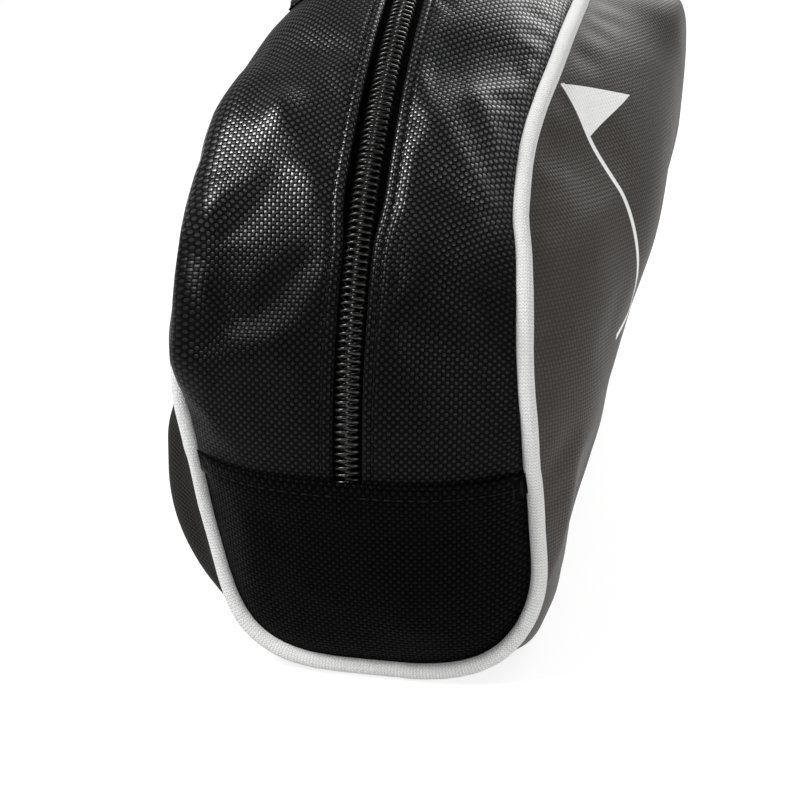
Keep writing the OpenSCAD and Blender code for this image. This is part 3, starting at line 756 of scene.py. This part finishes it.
def foot_ring(s, t):
    """A place on the square (s from -1 to 1, t from 0 to 1) taken to the end panel's shape: (x, q)."""
    r = max(abs(s), t)
    if r < 1e-6:
        return 0.0, 0.0
    if abs(s) >= t:
        q = CORNER_Q * t / abs(s)
        x = copysign((1 - q ** FOOT_POWER) ** (1 / FOOT_POWER), s)
    else:
        x = CORNER_Q * s / t
        q = (1 - abs(x) ** FOOT_POWER) ** (1 / FOOT_POWER)
    return STRIP_W / 2 * x * r, q * r


# The end panel's folded top edge: (distance down, distance out), and the line its stitches run along
LIP_R = 1.0
LIP = [(7.0, 0.3), (1.6, 0.3)]
LIP += [(LIP_R - LIP_R * sin(radians(a)), 1.3 - LIP_R * cos(radians(a))) for a in range(0, 181, 30)]
LIP_ROWS = len(LIP)
LIP_LINE = 4.2


def lip_height(drop):
    """Height of the end panel's face over the strip's line, drop millimetres below its folded edge."""
    groove = -0.4 * bump(drop, LIP_LINE, 0.55)
    return 0.35 + 1.95 * (1 - ramp(drop, 3, 17)) + groove


# Folds of the end panels: height, start and end (across, above the floor), width
END_FOLDS = [(1.0, (-33, 50), (-38, 30), 6), (-0.9, (-22, 44), (-30, 26), 6), (-0.9, (24, 46), (36, 34), 6),
             (0.8, (8, 34), (16, 18), 8), (-0.7, (-16, 22), (-26, 12), 5), (0.6, (30, 22), (36, 12), 5)]


def end_relief(x, z):
    """How far the cloth stands proud of the end panel's even shape."""
    lift = sum(h * ridge(x, z, a, b, w) for h, a, b, w in END_FOLDS)
    lift += 1.3 * bump(x, 0, 5.5) * (1 - ramp(END_LIP - z, 8, 30))
    return lift + 0.8 * noise.noise(Vector((x * 0.05, z * 0.05, 4.2)))


END_COLUMNS, END_ROWS = 46, 30
EDGE_INSET, EDGE_TUCK = 1.3, 1.2


def make_end(end, name, node):
    def spread(j):
        return ((j - LIP_ROWS + 1) / END_ROWS) ** 1.25

    def place(i, j):
        s = 2 * i / END_COLUMNS - 1
        if j < LIP_ROWS:
            down, off = LIP[j]
            x, q, r = (STRIP_W / 2 - EDGE_TUCK) * s, down / FOOT_DROP, abs(s)
        else:
            x, q = foot_ring(s, spread(j))
            r = max(abs(s), spread(j))
            inset = 1 - EDGE_INSET / max(8.0, hypot(x, q * FOOT_DROP)) * r
            x, q = x * inset, max(q * inset, 2.0 / FOOT_DROP * (1 - ramp(spread(j), 0, 0.12)))
            off = lip_height(q * FOOT_DROP)
        z = END_LIP - q * FOOT_DROP
        rim = ramp(r, 0.9, 1.0)
        free = (1 - ramp(r, 0.72, 0.97)) * ramp(END_LIP - z, 5, 12)
        off = off * (1 - rim) - EDGE_TUCK * rim + end_relief(x, z) * free
        off += 0.44 * bump(r, 0.9, 0.07) * noise.noise(Vector((x * 0.3, z * 0.3, end * 5.0)))
        return end_point(end, x, q, off)

    def flat(i, j):
        p = place(i, max(j, LIP_ROWS))
        return p.x, p.z + 0.5 * max(0, LIP_ROWS - j)

    bm = outward(woven_sheet(END_COLUMNS, LIP_ROWS + END_ROWS - 1, place, flat), (0, 0, 60))
    made = soften(piece(name, bm))
    dress(made, "strip_fabric", shaded_end_weave, node)
    return made


def in_end_lining(i, j):
    return 2 <= i <= 44 and 2 <= j - LIP_ROWS <= 27


def in_end_binding(i, j):
    """A band round the end panel's sides and foot."""
    inside = 3 <= i <= 43 and 2 <= j - LIP_ROWS <= 26
    return inside and (i <= 7 or i >= 39 or j - LIP_ROWS >= 22)


END_T = 0.9
END_LINING_TOP, END_LINING_BOTTOM = 1.4, 2.0
ends = {end: make_end(end, f"end_panel_cloth_{word}", f"end_panel_{word}") for end, word in ENDS}
for end, word in ENDS:
    under(ends[end], f"end_lining_cloth_{word}", END_LINING_TOP, END_LINING_BOTTOM, in_end_lining,
          f"end_lining_{word}", "lining_cloth", lining_knit)
    under(ends[end], f"end_binding_tape_{word}", BINDING_TOP, BINDING_BOTTOM, in_end_binding,
          f"end_binding_{word}", "binding_tape", binding_weave)
    thicken(ends[end], END_T)


# ---------------------------------------------------------------- base and padded sides
CORNER_T = degrees(acos((2 * BASE_TIP / STRIP_W) ** (FOOT_POWER / 2)))
BASE_Q = foot_corner(CORNER_T)[1]
BASE_Y = BODY_LEN / 2 - edge_set(BASE_Q)
BASE_Z = END_LIP - FOOT_DROP * BASE_Q
NOSE_Y = BODY_LEN / 2 - FOOT_SET
PAD_TOP, PAD_BOTTOM, LINING_TOP, LINING_BOTTOM = 1.4, 4.4, 4.6, 5.2


# The base's shape along its length, w from -1 at the front to 1 at the rear
def base_shift(w):
    return foot_shift(BASE_Z, -1) * ramp(-w, 0.1, 1)


def base_lift(w):
    return max(0, (abs(w) - BASE_FLAT) / (1 - BASE_FLAT)) ** 2


def base_half(w):
    return BASE_W / 2 - (BASE_W / 2 - BASE_TIP) * w ** 6


def base_edge(side, w):
    return Vector((base_shift(w) + side * base_half(w), w * BASE_Y, BASE_Z * base_lift(w)))


def make_base():
    columns, rows = 34, 96

    def place(i, j):
        v, w = 2 * i / columns - 1, sin(pi * (j / rows - 0.5))
        rim = abs(v) ** 3
        z = BASE_Z * base_lift(w) * rim + FOOT_Z * base_lift(w) * (1 - rim)
        reach = BASE_Y * rim + NOSE_Y * (1 - rim) - 1.4
        soft = (1 - v ** 6) * (1 - w ** 8)
        z += soft * 0.5 * (0.5 + noise.noise(Vector((v * 2.1, w * 5.3, 2.2))))
        return Vector((base_shift(w) + v * (base_half(w) - 0.25), w * reach, max(0.0, z)))

    def flat(i, j):
        p = place(i, j)
        return p.x, p.y

    bm = outward(woven_sheet(columns, rows, place, flat), (0, 0, 60))
    made = soften(piece("base_cloth", bm))
    dress(made, "shell_fabric", shaded_shell_weave, "base_panel")
    return made


def line_panel(panel, part, keep, ending=""):
    """The foam and the lining inside a padded panel, which then gets its own thickness."""
    pad = under(panel, f"{part}_pad{ending}", PAD_TOP, PAD_BOTTOM, keep,
                f"{part}_foam{ending}", "padding_foam", foam_cells)
    under(panel, f"{part}_lining_cloth{ending}", LINING_TOP, LINING_BOTTOM, keep,
          f"{part}_lining{ending}", "lining_cloth", lining_knit)
    thicken(panel, FABRIC_T)


line_panel(make_base(), "base", lambda i, j: 4 <= i <= 30 and 8 <= j <= 88)

# The padded sides: how far out and how high they swell most, and how full they are towards each part of
# their seam, by the direction from there (0 to the rear, 90 up, 180 to the front, 270 down)
SIDE_SHAPE = {
    1: {"x": 83, "z": 140,
        "full": [(0, 3.2), (45, 6), (80, 11), (105, 11), (130, 4.4), (156, 2.7), (180, 2.9), (210, 3.4),
                 (270, 2.6), (360, 3.2)]},
    -1: {"x": 81.5, "z": 98,
         "full": [(0, 3.0), (60, 2.4), (90, 2.1), (130, 2.1), (160, 2.4), (190, 2.7), (207, 3.1), (217, 6.5),
                  (232, 8), (250, 6.5), (270, 3), (315, 3.2), (360, 3.0)]},
}
# How far out the slack right side may stand at each height: it falls in towards the floor
SLACK = [(0, 49.5), (5, 50.8), (15, 52.2), (25, 54.2), (35, 56.4), (45, 58.8), (55, 61.2), (65, 63.4),
         (75, 65.6), (85, 68.5), (95, 71.4), (105, 75), (115, 78.6), (125, 81.2), (135, 82.6), (145, 83.5),
         (165, 83.5), (200, 83.5)]
# Dents and soft folds of the padded sides: height, start and end (along the bag, above the floor), width
SIDE_FOLDS = {
    1: [(-2.6, (-84, 152), (-116, 94), 13), (1.6, (-136, 66), (-139, 48), 4),
        (-1.2, (-128, 60), (-132, 40), 5), (1.5, (-60, 70), (-96, 52), 14), (-1.8, (30, 60), (-30, 44), 12),
        (1.6, (40, 40), (90, 60), 12), (-2.0, (70, 150), (110, 110), 15), (1.4, (-20, 30), (40, 26), 9),
        (-1.3, (-70, 28), (-100, 40), 7)],
    -1: [(-2.4, (-70, 140), (-110, 90), 14), (1.5, (-132, 60), (-138, 44), 5),
         (-2.0, (40, 64), (-40, 46), 12), (1.6, (-20, 28), (50, 34), 10), (-1.8, (80, 140), (116, 96), 14),
         (1.3, (-90, 50), (-60, 30), 8)],
}
SIDE_COLUMNS, SIDE_ROWS = 90, 66
CORNER_PHI = 46
SEAM_CUT = 1.05


def side_runs(side):
    """The seam line round a padded side as four runs: up the front, over, up the rear, along the floor."""
    def edge(start, stop):
        return [edge_point(side, phi) for phi in arch_walk(2, start, stop)]

    corner = [foot_corner(CORNER_T * (1 - k / 24) ** 1.4) for k in range(24)]
    front, rear = ([end_point(end, side * x, q) for x, q in corner] for end in (-1, 1))
    rise = front + edge(LOW_PHI, CORNER_PHI)
    over = edge(CORNER_PHI, 180 - CORNER_PHI)
    fall = rear + edge(180 - CORNER_PHI, 180 - LOW_PHI)[::-1]
    floor = [base_edge(side, -1 + 2 * k / 200) for k in range(201)]
    return [even(run, 400) for run in (rise, over, fall, floor)]


def pick(run, share):
    """The point at a share of a run's length."""
    at = share * (len(run) - 1)
    k = min(len(run) - 2, int(at))
    return run[k].lerp(run[k + 1], at - k)


def make_side(side, name, node):
    rise, over, fall, floor = side_runs(side)
    shape = SIDE_SHAPE[side]

    def seam_at(s, t):
        """The seam's point for a place on the edge of the square, and how far the cloth stops short of it."""
        if t <= -abs(s):
            return pick(floor, (s / -t + 1) / 2), 0.15 + 0.9 * ramp(abs(s / t), 0.93, 1)
        if s >= abs(t):
            return pick(fall, (t / s + 1) / 2), SEAM_CUT
        if t >= abs(s):
            return pick(over, (s / t + 1) / 2), SEAM_CUT
        return pick(rise, (t / -s + 1) / 2), SEAM_CUT

    def shares(i, j):
        """The seam's point outwards of (i, j), the share of the way to it, and that way's cut and length."""
        s, t = 2 * i / SIDE_COLUMNS - 1, 2 * j / SIDE_ROWS - 1
        r = max(abs(s), abs(t))
        if r < 1e-6:
            return Vector((side * shape["x"], 0, shape["z"])), 0.0, 1.0, 1.0
        b, cut = seam_at(s, t)
        arm = hypot(b.y, b.z - shape["z"])
        return b, r ** 0.9, 1 - cut / arm, arm

    def swell(b, r):
        """How far out the panel stands."""
        turn = degrees(atan2(b.z - shape["z"], b.y)) % 360
        out = abs(b.x) + (shape["x"] - abs(b.x)) * (1 - r ** along(turn, shape["full"]))
        if side > 0:
            y, z = b.y * r, shape["z"] + (b.z - shape["z"]) * r
            gap = (out - along(z, SLACK) - 0.03 * max(0, y + 20)) / 3
            out -= 3 * (log1p(exp(gap)) if gap < 30 else gap) * (1 - r ** 12)
        return side * out

    def place(i, j):
        b, r, rim, arm = shares(i, j)
        y, z = b.y * r * rim, shape["z"] + (b.z - shape["z"]) * r * rim
        lift = sum(h * ridge(y, z, a, c, w) for h, a, c, w in SIDE_FOLDS[side])
        lift += 1.6 * noise.noise(Vector((y * 0.022, z * 0.022, side * 4.0)))
        inwards = arm * (1 - r)
        pucker = 0.5 * bump(inwards, 6, 5) * noise.noise(Vector((y * 0.11, z * 0.11, side * 9.0)))
        return Vector((swell(b, r) + side * (lift * (1 - r ** 5) * ramp(inwards, 2, 16) + pucker), y, z))

    def flat(i, j):
        b, r, _, arm = shares(i, j)
        run, steps = 0.0, 10
        for k in range(steps):
            low, high = r * k / steps, r * (k + 1) / steps
            run += hypot(arm * (high - low), swell(b, high) - swell(b, low))
        stretch = run / max(1e-6, arm * r) if r > 1e-6 else 1
        return side * b.y * r * stretch, (b.z - shape["z"]) * r * stretch

    def held(i, j):
        edge = min(i, j, SIDE_COLUMNS - i, SIDE_ROWS - j)
        return 1.0 if edge < 1 else (0.5 if edge < 2 else 0.0)

    bm = outward(woven_sheet(SIDE_COLUMNS, SIDE_ROWS, place, flat), (0, 0, 100))
    made = settle(piece(name, bm), held, slack=0.006, reach=1.0, bend=1.2)
    soften(made)
    # The right side gets the lighter cloth, painted light, and the left side the darker cloth, painted shade.
    dress(made, "shell_fabric", lit_print_weave if side > 0 else shaded_shell_weave, node)
    return made


POLE_X, POLE_FOOT, POLE_TOP = -94, -44, 26
PENNANT_LONG, PENNANT_HALF = 27, 8.5
PUTT_X, PUTT_Y, PUTT_R = -72, -37, 6
DIMPLE_PITCH = 2.6
GREEN_X, GREEN_HALF, GREEN_BEND = -84, 25.0, 0.006


def flag_and_ball(f):
    """A plain white pennant on its pole, with a ball lying on the green behind it."""
    x, y = f.cloth()
    past_pole = x - POLE_X
    pole = (1 - abs(past_pole).rise(0.7, 1.0)) * y.rise(POLE_FOOT, POLE_FOOT + 0.4)
    pole = pole * (1 - y.rise(POLE_TOP, POLE_TOP + 0.4))
    tip = past_pole - PENNANT_LONG * (1 - abs(y - (POLE_TOP - PENNANT_HALF)) / PENNANT_HALF)
    pennant = (1 - tip.rise(-0.2, 0.2)) * past_pole.rise(0.0, 0.3)
    near = ((x - PUTT_X) ** 2.0 + (y - PUTT_Y) ** 2.0).sqrt()
    dimple_x, dimple_y = (((place / DIMPLE_PITCH).fract() - 0.5) ** 2.0 for place in (x, y))
    dimple = (dimple_x + dimple_y).sqrt()
    dots = (1 - dimple.rise(0.2, 0.28)) * (1 - near.rise(PUTT_R - 1.8, PUTT_R - 1.4))
    ball = (1 - near.rise(PUTT_R - 0.3, PUTT_R)) * (1 - dots)
    aside = x - GREEN_X
    green = 1 - abs(y - POLE_FOOT + (aside ** 2.0) * GREEN_BEND).rise(0.8, 1.1)
    green = green * (1 - abs(aside).rise(GREEN_HALF, GREEN_HALF + 0.5))
    return pole.most(pennant).most(ball).most(green)


# The right side panel's cloth: the side cloth painted lighter and warmer, as painted light and reflection,
# with the print on it.
lit_print_weave = basket_weave("lit_print_weave", LIT_SIDE_YARN, LIT_SIDE_GAP, print_mask=flag_and_ball, rough=0.5,
                           depth=0.1, warp_painted_shade=0.7, shine=0.2, level=0.25, sheen=0.1)
sides = {side: make_side(side, f"side_panel_cloth_{word}", f"side_panel_{word}") for side, word in HALVES}
for side, word in HALVES:
    line_panel(sides[side], "side", lambda i, j: 3 <= i <= 87 and 3 <= j <= 63, f"_{word}")


# ---------------------------------------------------------------- piping round both sides and under the feet
def tube(name, path, radius, around, closed=False):
    """A round tube along a path of points, radius(k) millimetres at point k and around faces about it."""
    count = len(path)
    ahead = []
    for k in range(count):
        a = path[k - 1] if k or closed else path[0]
        b = path[(k + 1) % count] if k < count - 1 or closed else path[-1]
        ahead.append((b - a).normalized())
    normal = ahead[0].orthogonal().normalized()
    normals = []
    for way in ahead:
        normal = (normal - way * normal.dot(way)).normalized()
        normals.append(normal)
    twist = 0.0
    if closed:
        back = (normal - ahead[0] * normal.dot(ahead[0])).normalized()
        twist = atan2(ahead[0].dot(back.cross(normals[0])), back.dot(normals[0]))
    run = lengths(path + path[:1])

    def place(i, j):
        k = j % count
        turn = 2 * pi * i / around + twist * (j / count if j < count else 0)
        side = ahead[k].cross(normals[k])
        return path[k] + radius(k) * (cos(turn) * normals[k] + sin(turn) * side)

    def flat(i, j):
        return i / around * 2 * pi * radius(j % count), run[j]

    bm = woven_sheet(around, count if closed else count - 1, place, flat, closed=True)
    return piece(name, outward(bm) if closed else close_ends(bm))


PIPING_POINTS = 640
CORD_R, WAVER = 1.7, 0.45


def waver(k):
    """How far the piping strays from its seam at its point k; where the loop joins, it doesn't."""
    if not 4 < k < PIPING_POINTS - 5:
        return Vector()
    return Vector([noise.noise(Vector((k * 0.09, way, 2))) for way in (1, 5, 9)]) * WAVER


loop = even(edge_line(1) + edge_line(-1)[::-1], PIPING_POINTS, closed=True)
loop = [p + waver(k) for k, p in enumerate(loop)]
piping = tube("piping_knit_cover", loop, lambda k: PIPING_R + 0.1 * noise.noise(Vector((k * 0.5, 3, 3))), 14,
              closed=True)
dress(soften(piping), "piping_cloth", piping_knit, "piping_cover")
cord = tube("piping_filler_cord", loop[::2], lambda k: CORD_R, 8, closed=True)
dress(soften(cord), "piping_cord", cord_fibre, "piping_cord")


# ---------------------------------------------------------------- zip: tapes and coils
TAPE_HIGH, TAPE_T = -2.95, 0.6
COIL_H = 2.7
COIL_MIDDLE = TAPE_HIGH + 0.1 + COIL_H / 2
COIL_REACH = 0.62                   # share of the pitch that one turn of the filament covers


def make_tape(side, name, node):
    step = 3.0
    phis = arch_walk(step, -8, 188)
    cols = [0.5, 0.9, 3, 6, 9, 12, 15.2, 15.5]

    def place(i, j):
        y, z = arch(phis[j], TAPE_HIGH)
        return Vector((side * cols[i], y, z))

    flat = lambda i, j: (cols[i], j * step)
    bm = outward(woven_sheet(len(cols) - 1, len(phis) - 1, place, flat), (0, 0, 40))
    return dress(thicken(piece(name, bm), TAPE_T), "zip_tape", tape_weave, node)


def make_coil(side, name, node):
    """One side's coil: a filament that loops over, round its thick heads and back, once for each pitch.
    Each point of a turn is (distance from the zip's middle, height, radius)."""
    turn = [(3.3, -0.95, 0.45), (3.5, -0.1, 0.4), (2.8, 0.7, 0.44), (1.6, 1.05, 0.44), (0.5, 1.12, 0.56),
            (-0.36, 0.75, 0.74), (-0.46, -0.2, 0.72), (0.5, -0.85, 0.5), (2.0, -1.1, 0.4)]
    total = ARCH_RUN[-1]
    phis = arch_walk(0.3, ZIP_START, ZIP_END)
    offset = 0.5 if side < 0 else 0
    path = []
    for n in range(int(total / COIL_PITCH)):
        for k, (x, h, _) in enumerate(turn):
            at = (n + offset + (k / len(turn)) * COIL_REACH) * COIL_PITCH
            y, z = arch(phis[round(min(1.0, at / total) * (len(phis) - 1))], COIL_MIDDLE + h)
            path.append(Vector((side * x, y, z)))
    made = tube(name, path, lambda k: turn[k % len(turn)][2], 5)
    return dress(made, "zip_coil", coil_nylon, node)


for side, word in HALVES:
    make_tape(side, f"zip_tape_weave_{word}", f"zip_tape_{word}")
    make_coil(side, f"zip_coil_loops_{word}", f"zip_coil_{word}")


# ---------------------------------------------------------------- stitching
def stitches(name, places, length=2.5, thick=0.55):
    """Threads lying in the cloth: each place is (middle, way along, way out)."""
    bm = bmesh.new()
    for middle, way, out in places:
        way = way.normalized()
        out = (out - way * out.dot(way)).normalized()
        turn = Matrix((way, out.cross(way), out)).transposed().to_4x4()
        size = Matrix.Diagonal((length / 2, thick / 2, thick / 2, 1))
        bmesh.ops.create_icosphere(bm, subdivisions=1, radius=1,
                                   matrix=Matrix.Scale(MM, 4) @ Matrix.Translation(middle) @ turn @ size)
    return dress(piece(name, bm), "strip_fabric", thread_spun)


def line_stitches(points, outs, pitch=3.3):
    """Places for stitches along a line of points, with the way out at each point."""
    run = lengths(points)
    made, k = [], 0
    for n in range(int(run[-1] / pitch)):
        want = (n + 0.5) * pitch
        while run[k + 1] < want:
            k += 1
        t = (want - run[k]) / (run[k + 1] - run[k])
        made.append((points[k].lerp(points[k + 1], t), points[k + 1] - points[k], outs[k]))
    return made


hem_places = []
for side, _ in HALVES:
    phis = arch_walk(2.0, -1, 181)
    line = [cloth_point(side, phi, zip_half(phi) + HEM_LINE, -0.05) for phi in phis]
    hem_places += line_stitches(line, [arch_out(phi) for phi in phis])
stitches("hem_stitching", hem_places)
for end, word in ENDS:
    line = [end_point(end, x, LIP_LINE / FOOT_DROP, lip_height(LIP_LINE) + 0.1) for x in range(-46, 47)]
    stitches(f"cross_seam_stitching_{word}", line_stitches(line, [Vector((0, end, 0))] * len(line)))


# ---------------------------------------------------------------- carry handle on the left half
HANDLE_X, HANDLE_HALF, HANDLE_RISE, HANDLE_FOOT = 30, 53, 40, 17
WEB_W, WEB_H = 20, 1.8
SLEEVE_L, SLEEVE_T, SLEEVE_GAP = 84, 2.4, 0.7
PATCH_LOW, PATCH_T, PATCH_MARGIN, PATCH_SIDE = 0.4, 1.0, 3, 0.5
FOOT_LOW = PATCH_LOW + PATCH_T + 0.1
FOOT_PHI = degrees(acos(HANDLE_HALF / TOP_R))
FOOT_SPAN = degrees(HANDLE_FOOT / TOP_R)
MARGIN_SPAN = degrees(PATCH_MARGIN / TOP_R)
WEB_OFF = FOOT_LOW + WEB_H / 2


def strip_side(phi, x):
    """The webbing's middle where it lies on the strip: (y, z)."""
    p = cloth_point(-1, phi, x, WEB_OFF)
    return p.y, p.z


def free_line(a, x):
    """The free span's middle line, a 0 and 180 at its sewn ends: (y, z)."""
    share = (1 - cos(radians(a))) / 2
    z = 0
    for phi, part, turn in ((FOOT_PHI, 1 - share, a), (180 - FOOT_PHI, share, 180 - a)):
        fade = max(0, 1 - turn / 40)
        foot, level = strip_side(phi, x)[1], strip_side(phi, HANDLE_X)[1]
        z += part * (level + (foot - level) * fade)
    return -HANDLE_HALF * cos(radians(a)), z + HANDLE_RISE * max(0, sin(radians(a))) ** 1.6


def handle_line(x):
    """The webbing's middle line from one sewn end to the other, x from the zip's line."""
    front = [strip_side(FOOT_PHI - FOOT_SPAN * (1 - k / 8), x) for k in range(9)]
    rear = [strip_side(180 - FOOT_PHI + FOOT_SPAN * (1 - k / 8), x) for k in range(9)]
    return front + [free_line(a, x) for a in range(3, 178, 3)] + rear[::-1]


def line_up(line, k):
    """The way up from a line at its point k, as (y, z)."""
    a, b = line[max(0, k - 1)], line[min(len(line) - 1, k + 1)]
    d = hypot(b[0] - a[0], b[1] - a[1])
    return -(b[1] - a[1]) / d, (b[0] - a[0]) / d


def make_webbing():
    section = [(-1, 0), (-0.97, 0.7), (-0.88, 1), (-0.6, 1), (-0.3, 1), (0, 1), (0.3, 1), (0.6, 1),
               (0.88, 1), (0.97, 0.7), (1, 0), (0.97, -0.7), (0.88, -1), (0.3, -1), (-0.3, -1), (-0.88, -1),
               (-0.97, -0.7)]
    lines = {u: handle_line(HANDLE_X + u * WEB_W / 2) for u, _ in section}

    def place(i, j):
        u, h = section[i % len(section)]
        y, z = lines[u][j]
        ny, nz = line_up(lines[u], j)
        return Vector((-HANDLE_X - u * WEB_W / 2, y + h * WEB_H / 2 * ny, z + h * WEB_H / 2 * nz))

    def flat(i, j):
        u, h = section[i % len(section)]
        return u * WEB_W / 2 + (30 if h < 0 else 0), j * 2.6

    bm = close_ends(woven_sheet(len(section), len(lines[0]) - 1, place, flat, closed=True))
    return dress(soften(piece("handle_strap", bm)), "webbing", strap_weave, "handle_webbing")


def make_sleeve():
    start = degrees(acos(SLEEVE_L / 2 / HANDLE_HALF))
    count, around = 60, 36
    turns = [start + (180 - 2 * start) * k / count for k in range(count + 1)]
    line = [free_line(a, HANDLE_X) for a in turns]

    def place(i, j):
        a = 2 * pi * (i % around) / around
        end = min(j, count - j)
        hem = 0.35 * bump(end, 3.2, 0.9) - 0.5 * bump(end, 5.2, 0.8) - 0.9 * bump(end, 0, 1.2)
        uneven = noise.noise(Vector((cos(a) * 1.4, sin(a) * 1.4, j * 0.25)))
        grow = SLEEVE_GAP + SLEEVE_T + hem + 0.25 * uneven
        grow -= 0.35 * bump(abs(cos(a)), 0.985, 0.012)
        wide = (WEB_W / 2 + grow) * copysign(abs(cos(a)) ** 0.55, cos(a))
        high = (WEB_H / 2 + grow) * copysign(abs(sin(a)) ** 0.6, sin(a))
        ny, nz = line_up(line, j)
        return Vector((-HANDLE_X + wide, line[j][0] + high * ny, line[j][1] + high * nz))

    bm = outward(woven_sheet(around, count, place, lambda i, j: (i / around * 58, j * 1.7), closed=True))
    outward(bm, (-HANDLE_X, 0, line[count // 2][1] - 3))
    made = thicken(soften(piece("handle_padded_sleeve", bm)), 2.0)
    return dress(made, "sleeve_fabric", sleeve_weave, "handle_sleeve")


def make_patch(end, name, node):
    cells_across = 20
    low = FOOT_PHI - FOOT_SPAN - 0.4 * MARGIN_SPAN
    high = FOOT_PHI + MARGIN_SPAN

    def place(i, j):
        u, v = 2 * i / cells_across - 1, 2 * j / cells_across - 1
        corner = max(0, abs(u) - 0.86) * max(0, abs(v) - 0.86) * 18
        x = HANDLE_X + u * (WEB_W / 2 + PATCH_SIDE) * (1 - corner)
        phi = (low + high) / 2 + v * (high - low) / 2 * (1 - corner)
        rim = max(abs(u), abs(v))
        off = PATCH_LOW + PATCH_T - 0.55 * ramp(rim, 0.9, 1) - 0.25 * bump(rim, 0.86, 0.03)
        return cloth_point(-1, phi if end < 0 else 180 - phi, x, off)

    flat = lambda i, j: (i * 1.3, j * 1.15)
    bm = outward(woven_sheet(cells_across, cells_across, place, flat), (0, 0, 60))
    made = thicken(soften(piece(name, bm)), 0.8)
    return dress(made, "sleeve_fabric", sleeve_weave, node)


make_webbing()
make_sleeve()
for end, word in ENDS:
    make_patch(end, f"handle_patch_cloth_{word}", f"handle_patch_{word}")



def on_foot(end, u, v):
    """A point on top of the webbing where it is sewn down, u and v from -1 to 1 across it."""
    phi = FOOT_PHI - FOOT_SPAN * (0.5 - v / 2)
    off = FOOT_LOW + WEB_H + 0.05
    return cloth_point(-1, phi if end < 0 else 180 - phi, HANDLE_X + u * WEB_W / 2, off)


# A box of stitches with a cross in it, on each foot of the handle
p, q, r, s = (-0.8, -0.85), (0.8, -0.85), (0.8, 0.8), (-0.8, 0.8)
box_places = []
for end, _ in ENDS:
    for a, b in ((p, q), (q, r), (r, s), (s, p), (p, r), (q, s)):
        line = [on_foot(end, a[0] + (b[0] - a[0]) * k / 12, a[1] + (b[1] - a[1]) * k / 12) for k in range(13)]
        box_places += line_stitches(line, [Vector((-0.3, end * 0.25, 1))] * 13, 2.6)
stitches("handle_box_stitching", box_places, 2.1, 0.5)


# ---------------------------------------------------------------- sliders and pull tabs
def refined(node, name, body, slot, look, round_edges, segments=3):
    """A pressed or moulded part: the node's own solid with its edges rounded."""
    bm = bmesh.new()
    bm.from_mesh(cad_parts[node].data)
    bmesh.ops.remove_doubles(bm, verts=bm.verts, dist=1e-6)
    bmesh.ops.dissolve_limit(bm, angle_limit=radians(1), verts=bm.verts, edges=bm.edges)
    made = piece(name, bm, body)
    edges = made.modifiers.new("Rounded", "BEVEL")
    edges.width = round_edges * MM
    edges.segments = segments
    edges.limit_method = "ANGLE"
    edges.angle_limit = radians(40)
    edges.harden_normals = True
    return dress(made, slot, look, node)


for _, word in ENDS:
    slider, puller = f"{word}_slider", f"{word}_puller"
    refined(f"{word}_slider_body", f"{word}_slider_shell", slider, "slider_metal", slider_enamel, 0.35)
    refined(f"{word}_slider_bridge", f"{word}_slider_crown", slider, "slider_metal", slider_enamel, 0.4)
    refined(f"{word}_pull_tab", f"{word}_pull_plate", puller, "slider_metal", slider_enamel, 0.25)
    refined(f"{word}_pull_grip", f"{word}_pull_sleeve", puller, "pull_rubber", pull_moulding, 0.7, 4)


# ---------------------------------------------------------------- floor, light and camera
def stage_floor():
    """A pale floor: it glows where it is seen or mirrored, and is plain where it throws light back."""
    bm = bmesh.new()
    bmesh.ops.create_grid(bm, x_segments=1, y_segments=1, size=6)
    mesh = bpy.data.meshes.new("studio_floor")
    bm.to_mesh(mesh)
    bm.free()
    floor = added("studio_floor", mesh)
    f = Finish("studio_floor")
    camera_ray, glossy_ray, clear_ray = (f.node("ShaderNodeLightPath", None, k) for k in (0, 3, 6))
    seen = camera_ray.most(glossy_ray).most(clear_ray)
    plain = f.node("ShaderNodeBsdfDiffuse", Color=(0.8, 0.8, 0.8))
    faint = f.node("ShaderNodeBsdfDiffuse", Color=(0.3, 0.3, 0.3))
    glow = f.node("ShaderNodeEmission", Color=(1, 1, 1), Strength=0.82)
    both = f.node("ShaderNodeAddShader", _0=faint, _1=glow)
    mixed = f.node("ShaderNodeMixShader", _0=seen, _1=plain, _2=both)
    out = f.tree.nodes.new("ShaderNodeOutputMaterial")
    f.tree.links.new(mixed.socket, out.inputs[0])
    mesh.materials.append(f.material)


def lamp(name, place, aim, size, power):
    data = bpy.data.lights.new(name, "AREA")
    data.shape = "RECTANGLE"
    data.size, data.size_y = size
    data.energy = power
    made = added(name, data)
    made.location = place
    made.rotation_euler = (Vector(aim) - Vector(place)).to_track_quat("-Z", "Y").to_euler()


def studio_world(level):
    world = bpy.data.worlds.new("studio")
    bpy.context.scene.world = world
    world.use_nodes = True
    sky = world.node_tree.nodes["Background"]
    sky.inputs["Color"].default_value = (1, 1, 1, 1)
    sky.inputs["Strength"].default_value = level


stage_floor()
studio_world(0.22)
lamp("overhead_softbox", (-0.72, -0.48, 0.97), (0, -0.1, 0.12), (0.46, 0.36), 16)
lamp("rear_softbox", (0.4, 1.3, 1.0), (0, 0, 0.15), (1.1, 0.7), 20)
lamp("right_softbox", (1.2, 0.1, 0.7), (0, 0, 0.1), (0.7, 0.7), 1.5)
lamp("front_fill", (0.75, -0.85, 0.5), (0, -0.1, 0.1), (0.5, 0.5), 4)

bpy.context.scene.view_settings.view_transform = "Standard"
camera = bpy.data.cameras.new("camera")
camera.sensor_width = 36
camera.lens = 72
camera.clip_start = 0.01
camera.clip_end = 30
viewer = added("camera", camera)
viewer.location = (0.088, -0.564, 0.242)
viewer.rotation_euler = (radians(90 - 20.5), 0, radians(10.5))
bpy.context.scene.camera = viewer
